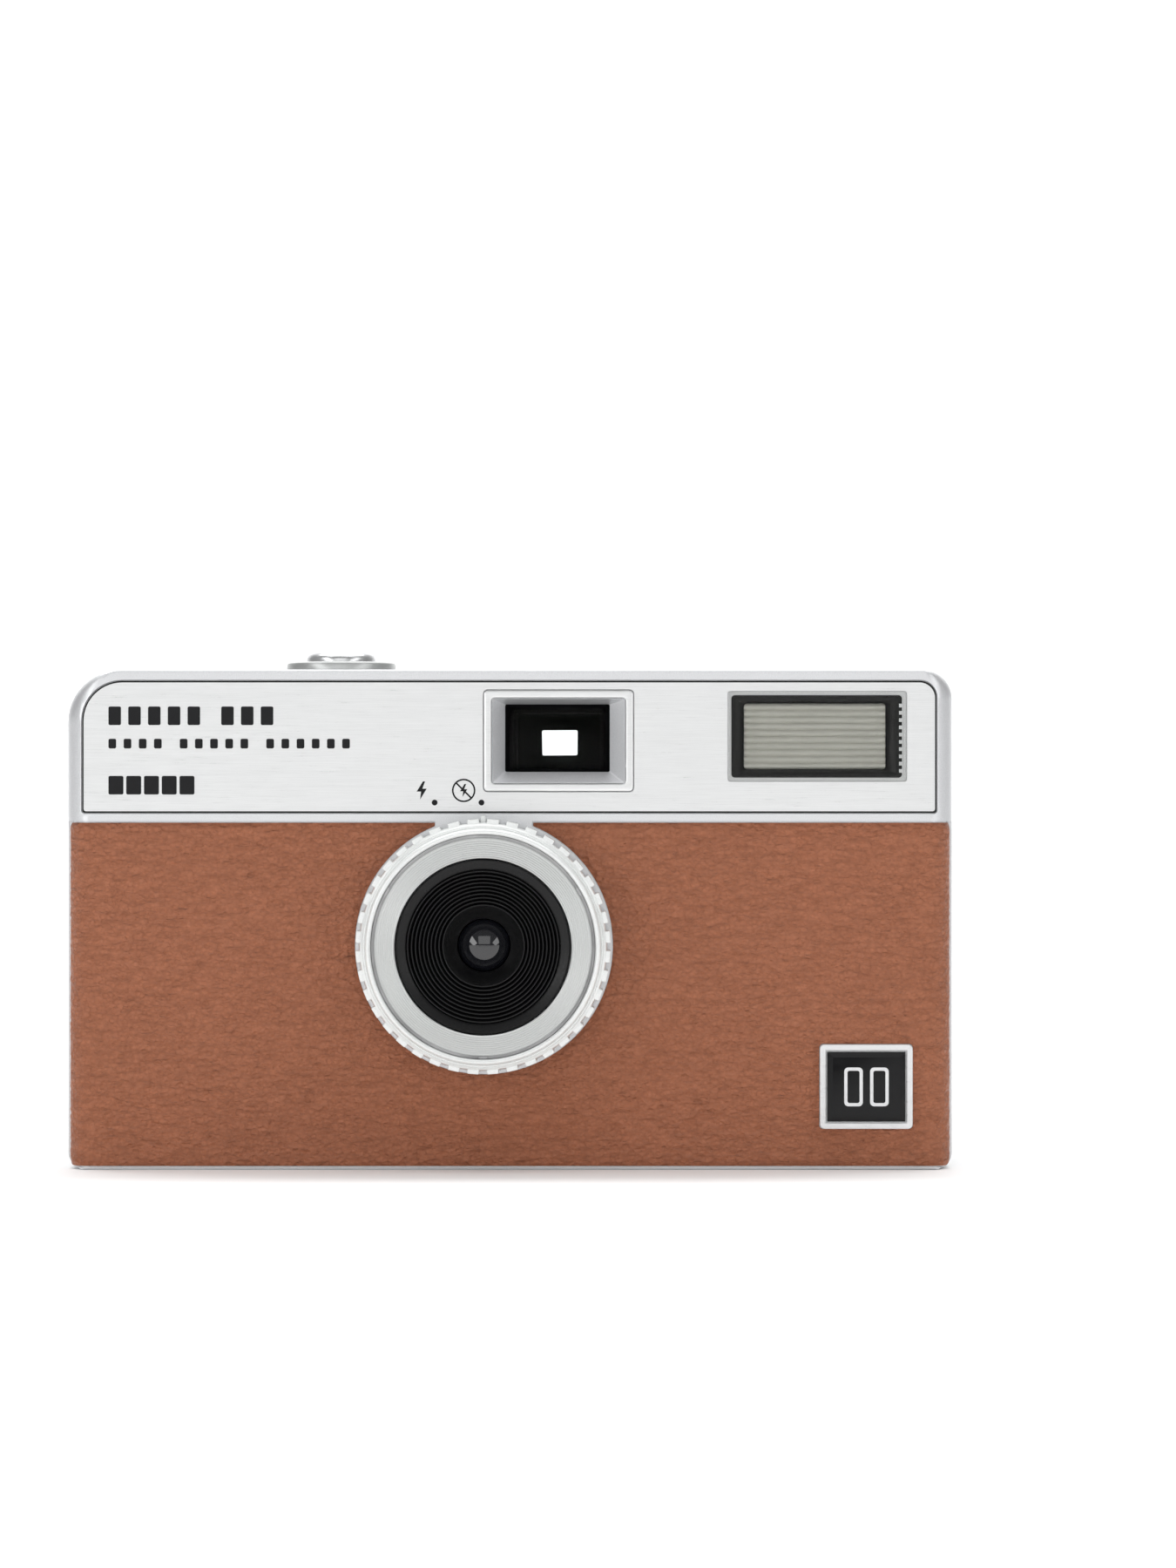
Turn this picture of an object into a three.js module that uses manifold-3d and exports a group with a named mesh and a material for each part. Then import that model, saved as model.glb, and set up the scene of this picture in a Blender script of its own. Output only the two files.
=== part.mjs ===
// Half frame camera for 35 mm film: an assembly of shells, optics, shutter, film transport and flash.
// Millimetres. +Z up, the lens looks along -Y, +X is at the right of the front view.
// The origin is at the middle of the bottom face.

import * as THREE from 'three';
import { mergeVertices } from 'three/addons/utils/BufferGeometryUtils.js';
import Module from 'manifold-3d';

const wasm = await Module();
wasm.setup();

// ---------------------------------------------------------------- driving dimensions

const WIDTH = 110;
const HEIGHT = 62;
const HALF = WIDTH / 2;
const FRONT = -13;                 // front face of the body
const SHELL_REAR = 14.2;           // rear edge of the front shell
const DOOR_IN = 14.5;              // inner face of the rear door and rear cover
const REAR = 17.5;                 // outer face of the rear door
const LENS_FRONT = -19.5;          // front lip of the switch ring
const WALL = 1.5;
const GAP = 0.3;                   // clearance between neighbouring pieces

const LENS_X = -3.2;
const LENS_Z = 27.8;
const SEAM_Z = 43.2;               // top edge of the leather recess
const DOOR_TOP = 49.9;             // top edge of the rear door

const FILM_Y = 11;                 // film plane
const FILM_HALF = 17.5;            // half of the 35 mm film width
const GATE_W = 18;
const GATE_H = 24;

const CASSETTE = { x: 26, y: 2.3, r: 12.7 };
const SPOOL = { x: -39, y: 5.5, r: 9.6 };
const SPROCKET = { x: -20.5, y: 5, r: 5.6 };
const BUTTON = { x: -21.5, y: 1 };
const FINDER = { x: 6.05, z: 53.2 };
const FLASH = { x0: 27.1, x1: 49.1, z0: 48.2, z1: 59.2 };
const BATTERY = { x: 47.7, y: -4, r: 5.5 };
const HINGE = { x: -53.5, y: 16, r: 1.5 };
const WHEEL = { r: 14, z0: 50.6, z1: 54.9 };

const DECK_TOP = 48.2;             // top of the chassis
const CASSETTE_DECK = 49.9;        // top of the chassis over the cassette chamber
const CHASSIS_BOTTOM = 1.8;
const CHASSIS_FRONT = -11.2;
const CHASSIS_REAR = 14;

// ---------------------------------------------------------------- materials

function material(color, roughness, metalness) {
  return new THREE.MeshStandardMaterial({ color, roughness, metalness });
}

const silverPaint = material('#c9cacb', 0.42, 0.6);
const brushedSilver = material('#e2e3e4', 0.36, 0.7);
const leather = material('#8a4430', 0.6, 0);
const blackPlastic = material('#161616', 0.55, 0);
const glossBlack = material('#0b0b0c', 0.15, 0);
const chrome = material('#d5d6d8', 0.18, 1);
const springSteel = material('#a8a9ab', 0.35, 1);
const glass = material('#dfe8ea', 0.05, 0);
const clearPlastic = material('#eef0ee', 0.12, 0);
const foam = material('#202020', 0.95, 0);
const board = material('#2f6b3c', 0.6, 0);
const whitePlastic = material('#f0f0ee', 0.4, 0);
const redLamp = material('#c8401e', 0.2, 0);

// ---------------------------------------------------------------- solids

// A closed geometry with its shared vertices merged becomes a manifold solid.
function solid(geometry) {
  const bare = geometry.clone();
  bare.deleteAttribute('normal');
  bare.deleteAttribute('uv');
  const merged = mergeVertices(bare, 1e-4);
  const source = merged.index.array;
  const triangles = [];
  for (let i = 0; i < source.length; i += 3) {
    const [a, b, c] = [source[i], source[i + 1], source[i + 2]];
    if (a !== b && b !== c && c !== a) triangles.push(a, b, c);
  }
  return new wasm.Manifold(new wasm.Mesh({
    numProp: 3,
    vertProperties: new Float32Array(merged.attributes.position.array),
    triVerts: new Uint32Array(triangles),
  }));
}

function geometryOf(manifold) {
  const mesh = manifold.getMesh();
  const geometry = new THREE.BufferGeometry();
  geometry.setAttribute('position', new THREE.BufferAttribute(mesh.vertProperties, 3));
  geometry.setIndex(new THREE.BufferAttribute(mesh.triVerts, 1));
  geometry.computeVertexNormals();
  return geometry;
}

function join(parts) {
  return parts.reduce((sum, part) => sum.add(part));
}

function cut(body, tools) {
  return tools.reduce((rest, tool) => rest.subtract(tool), body);
}

function box([x0, x1], [y0, y1], [z0, z1]) {
  const geometry = new THREE.BoxGeometry(x1 - x0, y1 - y0, z1 - z0);
  geometry.translate((x0 + x1) / 2, (y0 + y1) / 2, (z0 + z1) / 2);
  return solid(geometry);
}

function cylinderZ(x, y, radius, [z0, z1], sides = 24) {
  const geometry = new THREE.CylinderGeometry(radius, radius, z1 - z0, sides);
  geometry.rotateX(Math.PI / 2);
  geometry.translate(x, y, (z0 + z1) / 2);
  return solid(geometry);
}

function cylinderY(x, z, radius, [y0, y1], sides = 28) {
  const geometry = new THREE.CylinderGeometry(radius, radius, y1 - y0, sides);
  geometry.translate(x, (y0 + y1) / 2, z);
  return solid(geometry);
}

function cylinderX(y, z, radius, [x0, x1], sides = 24) {
  const geometry = new THREE.CylinderGeometry(radius, radius, x1 - x0, sides);
  geometry.rotateZ(Math.PI / 2);
  geometry.translate((x0 + x1) / 2, y, z);
  return solid(geometry);
}

// A profile of [radius, y] points turned about an axis that runs along Y through (x, z).
function turnedY(profile, x, z, sides = 36) {
  const geometry = new THREE.LatheGeometry(profile.map(([r, y]) => new THREE.Vector2(r, y)), sides);
  geometry.translate(x, 0, z);
  return solid(geometry);
}

// A profile of [radius, z] points turned about an axis that runs along Z through (x, y).
function turnedZ(profile, x, y, sides = 32) {
  const geometry = new THREE.LatheGeometry(profile.map(([r, z]) => new THREE.Vector2(r, z)), sides);
  geometry.rotateX(Math.PI / 2);
  geometry.translate(x, y, 0);
  return solid(geometry);
}

// An outline drawn in X and Z, between two Y values.
function plateY(shape, [y0, y1], curveSegments = 4) {
  const depth = y1 - y0;
  const geometry = new THREE.ExtrudeGeometry(shape, { depth, bevelEnabled: false, curveSegments });
  geometry.rotateX(Math.PI / 2);
  geometry.translate(0, y1, 0);
  return solid(geometry);
}

// An outline drawn in X and Y, between two Z values.
function plateZ(shape, [z0, z1], curveSegments = 4) {
  const depth = z1 - z0;
  const geometry = new THREE.ExtrudeGeometry(shape, { depth, bevelEnabled: false, curveSegments });
  geometry.translate(0, 0, z0);
  return solid(geometry);
}

// An outline drawn in Y and Z, between two X values.
function plateX(shape, [x0, x1], curveSegments = 4) {
  const depth = x1 - x0;
  const geometry = new THREE.ExtrudeGeometry(shape, { depth, bevelEnabled: false, curveSegments });
  geometry.applyMatrix4(new THREE.Matrix4().set(0, 0, 1, x0, 1, 0, 0, 0, 0, 1, 0, 0, 0, 0, 0, 1));
  return solid(geometry);
}

function polygon(points) {
  return new THREE.Shape(points.map(([u, v]) => new THREE.Vector2(u, v)));
}

// A rectangle with a radius for each corner: top left, top right, bottom right, bottom left.
function roundedRectangle([u0, u1], [v0, v1], [topLeft, topRight, bottomRight, bottomLeft]) {
  const shape = new THREE.Shape();
  shape.absarc(u1 - bottomRight, v0 + bottomRight, bottomRight, -Math.PI / 2, 0);
  shape.absarc(u1 - topRight, v1 - topRight, topRight, 0, Math.PI / 2);
  shape.absarc(u0 + topLeft, v1 - topLeft, topLeft, Math.PI / 2, Math.PI);
  shape.absarc(u0 + bottomLeft, v0 + bottomLeft, bottomLeft, Math.PI, Math.PI * 1.5);
  return shape;
}

// A round outline with square teeth.
function toothedRound(x, y, outer, inner, teeth) {
  const points = [];
  const pitch = (Math.PI * 2) / teeth;
  for (let i = 0; i < teeth; i += 1) {
    for (const [share, radius] of [[0, inner], [0.2, outer], [0.6, outer], [0.8, inner]]) {
      const angle = (i + share) * pitch;
      points.push([x + radius * Math.cos(angle), y + radius * Math.sin(angle)]);
    }
  }
  return polygon(points);
}

class Helix extends THREE.Curve {
  constructor(x, y, radius, [z0, z1], turns) {
    super();
    Object.assign(this, { x, y, radius, z0, z1, turns });
  }

  getPoint(t, target = new THREE.Vector3()) {
    const angle = t * this.turns * Math.PI * 2;
    const z = this.z0 + (this.z1 - this.z0) * t;
    return target.set(this.x + this.radius * Math.cos(angle), this.y + this.radius * Math.sin(angle), z);
  }
}

function coilSpring(x, y, radius, wire, [z0, z1], turns) {
  const path = new Helix(x, y, radius, [z0 + wire, z1 - wire], turns);
  const section = polygon([[wire, 0], [0, wire], [-wire, 0], [0, -wire]]);
  return solid(new THREE.ExtrudeGeometry(section, { steps: turns * 9, extrudePath: path }));
}

// ---------------------------------------------------------------- assembly

const camera = new THREE.Group();

function place(name, manifold, look) {
  const mesh = new THREE.Mesh(geometryOf(manifold), look);
  mesh.name = name;
  camera.add(mesh);
}

// ---------------------------------------------------------------- case

// The body's plan, pulled in by an inset, as a tall prism with rounded upright front edges.
function planForm(inset) {
  const round = Math.max(3 - inset, 0.4);
  const plan = roundedRectangle(
    [-HALF + inset, HALF - inset], [FRONT + inset, REAR + 5], [0.4, 0.4, round, round],
  );
  return plateZ(plan, [-1, HEIGHT + 1]);
}

// The body's outer form, pulled in by an inset: the plan cut to the front view's outline.
function bodyForm(inset, [y0, y1]) {
  const round = (radius) => Math.max(radius - inset, 0.4);
  const face = roundedRectangle(
    [-HALF + inset, HALF - inset], [inset, HEIGHT - inset],
    [round(6.5), round(3.6), round(2), round(2)],
  );
  return plateY(face, [y0, y1]).intersect(planForm(inset));
}

const BADGE = { x0: 38.4, x1: 49.9, z0: 5.1, z1: 15.55 };
const KNOB = { x: CASSETTE.x, y: CASSETTE.y, r: 9, top: 3.2 };
const RELEASE = { x: -20.5, y: -4.2 };
const STRAP = { y: 7, z0: 36, z1: 44 };
const SCREWS = [[-47, -7.5], [-50, 12], [10, -7.5], [37.5, 11.5]];
const PIVOT = { x: -12, z: 37 };       // pin of the shutter blade
const LEVER = { x: -16, z: 49.2 };     // shaft of the release lever
const COUNTER_WINDOW = { x: SPOOL.x, y: SPOOL.y - 6.3 };
const BATTERY_PIN = { x: 54.25, z: 4.75 };
const BADGE_RIM = 0.75;

function frontShell() {
  const hollow = bodyForm(WALL, [FRONT + WALL, SHELL_REAR + 1]);
  const shell = bodyForm(0, [FRONT, SHELL_REAR]).subtract(hollow);
  const leatherRecess = box([-60, 60], [-20, -9.7], [GAP, SEAM_Z]).subtract(planForm(0.75));
  const fasciaRecess = plateY(
    roundedRectangle([-53.1, 53], [44.1, 60.7], [5.1, 2.2, 0.5, 0.5]), [FRONT - 1, FRONT + 0.8],
  );
  const lug = cylinderZ(HINGE.x, HINGE.y, HINGE.r, [0, 2])
    .add(box([HINGE.x - HINGE.r, HINGE.x + HINGE.r], [SHELL_REAR - 1, HINGE.y], [0, 2]))
    .intersect(bodyForm(0, [0, REAR]));
  const strapBores = cylinderZ(-54.2, STRAP.y, 0.7, [STRAP.z0 - 2.2, STRAP.z1 + 2.2], 16);
  const openings = [
    leatherRecess,
    fasciaRecess,
    cylinderY(LENS_X, LENS_Z, 13.9, [FRONT - 1, FRONT + 3], 40),
    box([FINDER.x - 9, FINDER.x + 9], [FRONT - 1, FRONT + 3], [47.2, 59.1]),
    box([28.2, 48], [FRONT - 1, FRONT + 3], [49.3, 58]),
    cylinderZ(BUTTON.x, BUTTON.y, 5.9, [HEIGHT - 3, HEIGHT + 1], 32),
    cylinderZ(COUNTER_WINDOW.x, COUNTER_WINDOW.y, 2.9, [HEIGHT - 3, HEIGHT + 1], 24),
    cylinderZ(KNOB.x, KNOB.y, KNOB.r + 0.4, [-1, 3], 32),
    cylinderZ(RELEASE.x, RELEASE.y, 2.4, [-1, 3], 20),
    box([50, 60], [-9.3, 1.3], [3.9, 47.5]),
    cylinderY(BATTERY_PIN.x, BATTERY_PIN.z, 0.42, [-10.2, 2.2], 12),
    box([-60, -50], [STRAP.y - 3.5, STRAP.y + 3.5], [STRAP.z0, STRAP.z1]),
    box([52.4, 60], [11.9, 20], [13.8, 30]),
    strapBores,
    ...SCREWS.map(([x, y]) => cylinderZ(x, y, 1.7, [-1, 1.05], 16)),
    ...SCREWS.map(([x, y]) => cylinderZ(x, y, 1, [-1, 3], 12)),
  ];
  return cut(shell.add(lug), [...openings, cylinderZ(HINGE.x, HINGE.y, 0.85, [0.6, 3], 16)]);
}

function rearTopCover() {
  const plate = bodyForm(0, [DOOR_IN, REAR]).intersect(box([-60, 60], [0, 20], [DOOR_TOP + GAP, 70]));
  return cut(plate, [
    box([SPOOL.x - 11.4, SPOOL.x + 11.4], [10, 20], [DOOR_TOP - 1, WHEEL.z1 + 0.6]),
    box([FINDER.x - 4.7, FINDER.x + 4.7], [10, 20], [FINDER.z - 2.5, FINDER.z + 3.1]),
    cylinderY(22, FINDER.z + 1, 1.5, [10, 20], 20),
    cylinderZ(HINGE.x, HINGE.y, 0.85, [40, 53], 16),
  ]);
}

// The brushed plate round the viewfinder and the flash.
function topFascia() {
  const outline = roundedRectangle([-52.9, 52.8], [44.3, 60.5], [4.9, 2, 0.3, 0.3]);
  return cut(plateY(outline, [FRONT + 0.1, FRONT + 0.65]), [
    box([FINDER.x - 9.55, FINDER.x + 9.55], [-20, 0], [46.6, 59.7]),
    box([FLASH.x0 - 0.25, FLASH.x1 + 0.25], [-20, 0], [FLASH.z0 - 0.25, FLASH.z1 + 0.25]),
  ]);
}

// A thin sheet that covers the front and turns back round both upright edges.
function frontLeather() {
  const sheet = bodyForm(0.02, [FRONT, 0]).subtract(planForm(0.6));
  const trimmed = sheet.intersect(box([-60, 60], [-20, -9.9], [GAP + 0.15, SEAM_Z - 0.2]));
  return cut(trimmed, [
    cylinderY(LENS_X, LENS_Z, 16, [-20, 0], 40),
    box([LENS_X - 6.1, LENS_X + 6.1], [-20, 0], [LENS_Z + 10, SEAM_Z + 2]),
    box([BADGE.x0 - 0.2, BADGE.x1 + 0.2], [-20, 0], [BADGE.z0 - 0.2, BADGE.z1 + 0.2]),
  ]);
}

function badgeFrame() {
  const radii = [0.5, 0.5, 0.5, 0.5];
  const outer = roundedRectangle([BADGE.x0, BADGE.x1], [BADGE.z0, BADGE.z1], radii);
  const pocket = roundedRectangle(
    [BADGE.x0 + BADGE_RIM, BADGE.x1 - BADGE_RIM],
    [BADGE.z0 + BADGE_RIM, BADGE.z1 - BADGE_RIM],
    radii,
  );
  return plateY(outer, [FRONT - 0.6, FRONT + 0.6]).subtract(plateY(pocket, [FRONT - 1, FRONT - 0.1]));
}

function badgeTile() {
  const tile = roundedRectangle(
    [BADGE.x0 + 0.95, BADGE.x1 - 0.95], [BADGE.z0 + 0.95, BADGE.z1 - 0.95], [0.4, 0.4, 0.4, 0.4],
  );
  return plateY(tile, [FRONT - 0.7, FRONT - 0.2]);
}

function strapBar() {
  return cylinderZ(-54.2, STRAP.y, 0.5, [STRAP.z0 - 1.9, STRAP.z1 + 1.9], 16);
}

function baseScrew([x, y]) {
  return turnedZ([[0, 0.25], [1.4, 0.25], [1.4, 0.95], [0.7, 0.95], [0.7, 4.1], [0, 4.1]], x, y, 16)
    .subtract(box([x - 0.9, x + 0.9], [y - 0.15, y + 0.15], [0, 0.55]));
}

place('front_shell', frontShell(), silverPaint);
place('rear_top_cover', rearTopCover(), silverPaint);
place('top_fascia', topFascia(), brushedSilver);
place('front_leather', frontLeather(), leather);
place('badge_frame', badgeFrame(), whitePlastic);
place('badge_tile', badgeTile(), glossBlack);
place('strap_bar', strapBar(), chrome);
SCREWS.forEach((spot, index) => place(`base_screw_${index + 1}`, baseScrew(spot), springSteel));

// ---------------------------------------------------------------- chassis

function chassis() {
  const block = join([
    box([-51.8, 53.2], [CHASSIS_FRONT, CHASSIS_REAR], [CHASSIS_BOTTOM, DECK_TOP])
      .intersect(planForm(WALL + GAP)),
    box([12.5, 39.8], [-10.9, CHASSIS_REAR], [DECK_TOP - 1, CASSETTE_DECK]),
    box([LEVER.x - 2, LEVER.x + 2], [3.3, 5.2], [DECK_TOP - 1, LEVER.z + 2]),
  ]);
  const filmTop = LENS_Z + FILM_HALF + 0.4;
  const filmBottom = LENS_Z - FILM_HALF - 0.4;
  return cut(block, [
    // take-up chamber and the bore of the spool's shaft
    cylinderZ(SPOOL.x, SPOOL.y, SPOOL.r, [3.2, 46.4], 32),
    box([SPOOL.x - SPOOL.r, SPOOL.x + SPOOL.r], [SPOOL.y, 20], [3.2, 46.4]),
    cylinderZ(SPOOL.x, SPOOL.y, 2.8, [40, 60], 20),
    // sprocket chamber
    cylinderZ(SPROCKET.x, SPROCKET.y, 6.9, [8.8, 46.4], 28),
    cylinderZ(SPROCKET.x, SPROCKET.y, 1.9, [5, 60], 20),
    // cassette chamber and the bore of the rewind fork
    cylinderZ(CASSETTE.x, CASSETTE.y, CASSETTE.r, [5.2, 49.3], 40),
    box([CASSETTE.x - CASSETTE.r, CASSETTE.x + CASSETTE.r], [CASSETTE.y, 20], [5.2, 49.3]),
    cylinderZ(CASSETTE.x, CASSETTE.y, 2.7, [0, 6], 20),
    cylinderZ(KNOB.x, KNOB.y, KNOB.r + 0.4, [0, KNOB.top + GAP], 40),
    // film path, light tunnel, shutter pocket, and room for the lever and the viewfinder
    box([SPOOL.x, CASSETTE.x], [FILM_Y, 20], [filmBottom, filmTop]),
    box(
      [LENS_X - GATE_W / 2, LENS_X + GATE_W / 2],
      [-6, 20],
      [LENS_Z - GATE_H / 2, LENS_Z + GATE_H / 2],
    ),
    box([-18.4, 10.4], [-20, -5.5], [11.5, 49]),
    box([-27.2, -13.5], [-20, 3.2], [46.9, 60]),
    box([-3.1, 15.2], [-20, -7.9], [47.2, 60]),
    // battery compartment, open to the side, and the capacitor's pocket behind it
    box([BATTERY.x - BATTERY.r, 60], [BATTERY.y - BATTERY.r, BATTERY.y + BATTERY.r], [3.4, 47]),
    box([42.4, 60], [3.2, 20], [4, 47]),
    // release button, strap pocket, latch hook and light seal
    cylinderZ(RELEASE.x, RELEASE.y, 2.4, [0, 5.6], 20),
    cylinderZ(RELEASE.x, RELEASE.y, 1.3, [0, 8.4], 16),
    box([-60, -50.2], [STRAP.y - 4, STRAP.y + 4], [STRAP.z0 - 1, STRAP.z1 + 1]),
    box([-51.4, -49.5], [13.1, 20], [4.6, 46.4]),
    cylinderY(LEVER.x, LEVER.z, 1.6, [3, 6], 16),
    ...SCREWS.map(([x, y]) => cylinderZ(x, y, 1, [0, 4.5], 12)),
  ]);
}

function doorLightSeal() {
  return box([-51.1, -49.8], [13.4, 14.3], [5, 46]);
}

place('chassis', chassis(), blackPlastic);
place('door_light_seal', doorLightSeal(), foam);

// ---------------------------------------------------------------- lens and shutter

function lensBarrel() {
  return turnedY([
    [12.2, -18.2], [13.4, -18.2], [13.4, -11.45], [15.6, -11.45], [15.6, -11.25],
    [13.4, -11.25], [13.4, -9.4], [12.2, -9.4], [12.2, -18.2],
  ], LENS_X, LENS_Z);
}

function lensFaceRing() {
  return turnedY([[10.9, -19], [13.4, -19], [13.4, -18.5], [10.9, -18.5], [10.9, -19]], LENS_X, LENS_Z);
}

// The stepped black cone between the face ring and the front glass.
function lensCone() {
  const steps = 4;
  const profile = [[10.6, -18.9], [9.7, -18.6]];
  for (let i = 1; i <= steps; i += 1) {
    const radius = 9.5 - (4.7 * i) / steps;
    const depth = -18.5 + (4.5 * i) / steps;
    profile.push([radius + 0.4, depth - 0.8], [radius, depth]);
  }
  profile.push([3.3, -12.3], [3.3, -11.9], [5.4, -11.9], [11, -17.7], [10.6, -18.9]);
  return turnedY(profile.reverse(), LENS_X, LENS_Z);
}

function lensCell() {
  return turnedY([
    [3.3, -11.6], [6.5, -11.6], [6.5, -8.7], [2.6, -8.7], [2.6, -9], [4.1, -9],
    [4.1, -11.3], [3.3, -11.3], [3.3, -11.6],
  ], LENS_X, LENS_Z, 24);
}

// A lens with two curved faces; a positive bulge swells the face outwards.
function lensElement(x, z, radius, [y0, y1], bulgeFront, bulgeRear, sides = 24) {
  const profile = [[0, y0 - bulgeFront]];
  const rings = 2;
  for (let i = 1; i <= rings; i += 1) {
    profile.push([(radius * i) / rings, y0 - bulgeFront * (1 - (i / rings) ** 2)]);
  }
  for (let i = rings; i >= 1; i -= 1) {
    profile.push([(radius * i) / rings, y1 + bulgeRear * (1 - (i / rings) ** 2)]);
  }
  profile.push([0, y1 + bulgeRear]);
  return turnedY(profile, x, z, sides);
}

function apertureStop() {
  const washer = [[1.2, -10.35], [3.9, -10.35], [3.9, -10.1], [1.2, -10.1], [1.2, -10.35]];
  return turnedY(washer, LENS_X, LENS_Z, 24);
}

function shutterPlate() {
  const plate = box([-18, 10], [-8.4, -7.6], [12, 46.2])
    .add(box([LEVER.x - 2, LEVER.x + 2], [-8.4, -7.6], [46, LEVER.z + 2]));
  return cut(plate, [
    cylinderY(LEVER.x, LEVER.z, 1.6, [-9, -7], 16),
    cylinderY(LENS_X, LENS_Z, 3, [-9, -7], 28),
    cylinderY(PIVOT.x, PIVOT.z, 0.8, [-9, -7], 16),
  ]);
}

// The blade swings on its pin and covers the hole behind the lens.
function shutterBlade() {
  const arm = polygon([
    [PIVOT.x - 1.2, PIVOT.z - 1], [PIVOT.x + 1.4, PIVOT.z + 1.2],
    [LENS_X + 2.2, LENS_Z + 1.4], [LENS_X - 2.2, LENS_Z - 1.4],
  ]);
  return join([
    plateY(arm, [-7.2, -6.9]),
    cylinderY(LENS_X, LENS_Z, 3.6, [-7.2, -6.9], 24),
    cylinderY(PIVOT.x, PIVOT.z, 2, [-7.2, -6.6], 20),
  ]).subtract(cylinderY(PIVOT.x, PIVOT.z, 0.8, [-9, -5], 16));
}

function bladePivotPin() {
  return cylinderY(PIVOT.x, PIVOT.z, 0.5, [-8.9, -5.9], 12);
}

// The rear arm lies under the button's stem, the front arm reaches down to the blade.
function releaseLever() {
  return join([
    cylinderY(LEVER.x, LEVER.z, 1.3, [-8.8, 4.8], 16),
    box([LEVER.x - 6.8, LEVER.x], [-0.6, 2.6], [LEVER.z + 0.2, LEVER.z + 1.3]),
    box([LEVER.x - 0.9, LEVER.x + 0.9], [-7.2, -6.4], [LEVER.z - 8, LEVER.z]),
  ]);
}

place('lens_barrel', lensBarrel(), blackPlastic);
place('lens_face_ring', lensFaceRing(), brushedSilver);
place('lens_cone', lensCone(), blackPlastic);
place('lens_cell', lensCell(), blackPlastic);
place('lens_front_element', lensElement(LENS_X, LENS_Z, 3.8, [-11.1, -10.7], 0.15, 0), glass);
place('aperture_stop', apertureStop(), blackPlastic);
place('lens_rear_element', lensElement(LENS_X, LENS_Z, 3.8, [-9.8, -9.4], 0.1, 0.15), glass);
place('shutter_plate', shutterPlate(), springSteel);
place('blade_pivot_pin', bladePivotPin(), springSteel);
place('shutter_blade', shutterBlade(), blackPlastic);
place('release_lever', releaseLever(), springSteel);

// The knurled ring round the lens switches the flash.
function flashSwitchRing() {
  const grip = plateY(toothedRound(LENS_X, LENS_Z, 15.7, 15.25, 30), [-17, -13.35]);
  const lip = turnedY(
    [[0, LENS_FRONT], [14.5, LENS_FRONT], [15.2, -19.2], [15.5, -18.4], [15.5, -16.9], [0, -16.9]],
    LENS_X, LENS_Z, 40,
  );
  const pointer = box([LENS_X - 0.3, LENS_X + 0.3], [-17, -14.2], [LENS_Z + 15, LENS_Z + 16.1]);
  return join([grip, lip, pointer]).subtract(cylinderY(LENS_X, LENS_Z, 13.8, [-20, -13], 40));
}

place('flash_switch_ring', flashSwitchRing(), silverPaint);

// ---------------------------------------------------------------- shutter button

function shutterButton() {
  return turnedZ([
    [0, 51], [1.5, 51], [1.5, 60.6], [4.42, 60.6], [4.42, 63.4], [4.1, 64.1], [3.4, 64.5], [0, 64.5],
  ], BUTTON.x, BUTTON.y, 28);
}

// A cup let into the top of the shell, with a wide flange.
function buttonCollar() {
  return turnedZ([
    [1.8, 56.5], [5.6, 56.5], [5.6, 62.1], [6.9, 62.1], [6.9, 62.9], [6.5, 63.2],
    [4.75, 63.2], [4.75, 57.3], [1.8, 57.3], [1.8, 56.5],
  ], BUTTON.x, BUTTON.y, 28);
}

place('shutter_button', shutterButton(), chrome);
place('button_collar', buttonCollar(), silverPaint);
place('shutter_button_spring', coilSpring(BUTTON.x, BUTTON.y, 2.8, 0.3, [57.4, 60.5], 4), springSteel);

// ---------------------------------------------------------------- viewfinder

function viewfinderBezel() {
  const rim = roundedRectangle([-3.2, 15.3], [46.9, 59.4], [0.6, 0.6, 0.6, 0.6]);
  const sleeve = roundedRectangle([-2.7, 14.8], [47.5, 58.8], [0.5, 0.5, 0.5, 0.5]);
  const mouth = roundedRectangle([-2.3, 14.4], [47.8, 58.5], [0.4, 0.4, 0.4, 0.4]);
  const inner = roundedRectangle([-0.6, 12.4], [49.3, 57.7], [0.3, 0.3, 0.3, 0.3]);
  return join([plateY(rim, [-13.2, -12.4]), plateY(sleeve, [-12.5, -9.4])])
    .subtract(plateY(inner, [-14, -9]))
    .subtract(plateY(mouth, [-14, -10.2]));
}

// Four slopes lead from the bezel's rim down to the dark opening.
function viewfinderFunnel() {
  const corners = (y, x0, x1, z0, z1) => [[x0, y, z0], [x1, y, z0], [x1, y, z1], [x0, y, z1]];
  const hull = (a, b) => wasm.Manifold.hull([...a, ...b]);
  const outer = hull(corners(-12.9, -2, 14.1, 48.1, 58.2), corners(-10.4, -2, 14.1, 48.1, 58.2));
  const inner = hull(corners(-13, -1.9, 14, 48.2, 58.1), corners(-10.3, -0.6, 12.4, 49.3, 57.7));
  return outer.subtract(inner);
}

function viewfinderTunnel() {
  return box([0.3, 11.8], [-7.9, 13.6], [48.9, 57.5]).subtract(box([1.1, 11], [-9, 15], [49.7, 56.7]));
}

function eyepieceFrame() {
  const flange = roundedRectangle([FINDER.x - 5.3, FINDER.x + 5.3], [50.5, 56.1], [0.8, 0.8, 0.8, 0.8]);
  return join([
    plateY(flange, [REAR + 0.1, REAR + 1.3]),
    box([FINDER.x - 4.4, FINDER.x + 4.4], [14, REAR + 0.2], [51, 56]),
  ]).subtract(box([FINDER.x - 2.5, FINDER.x + 2.5], [10, 20], [51.5, 55]));
}

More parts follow.
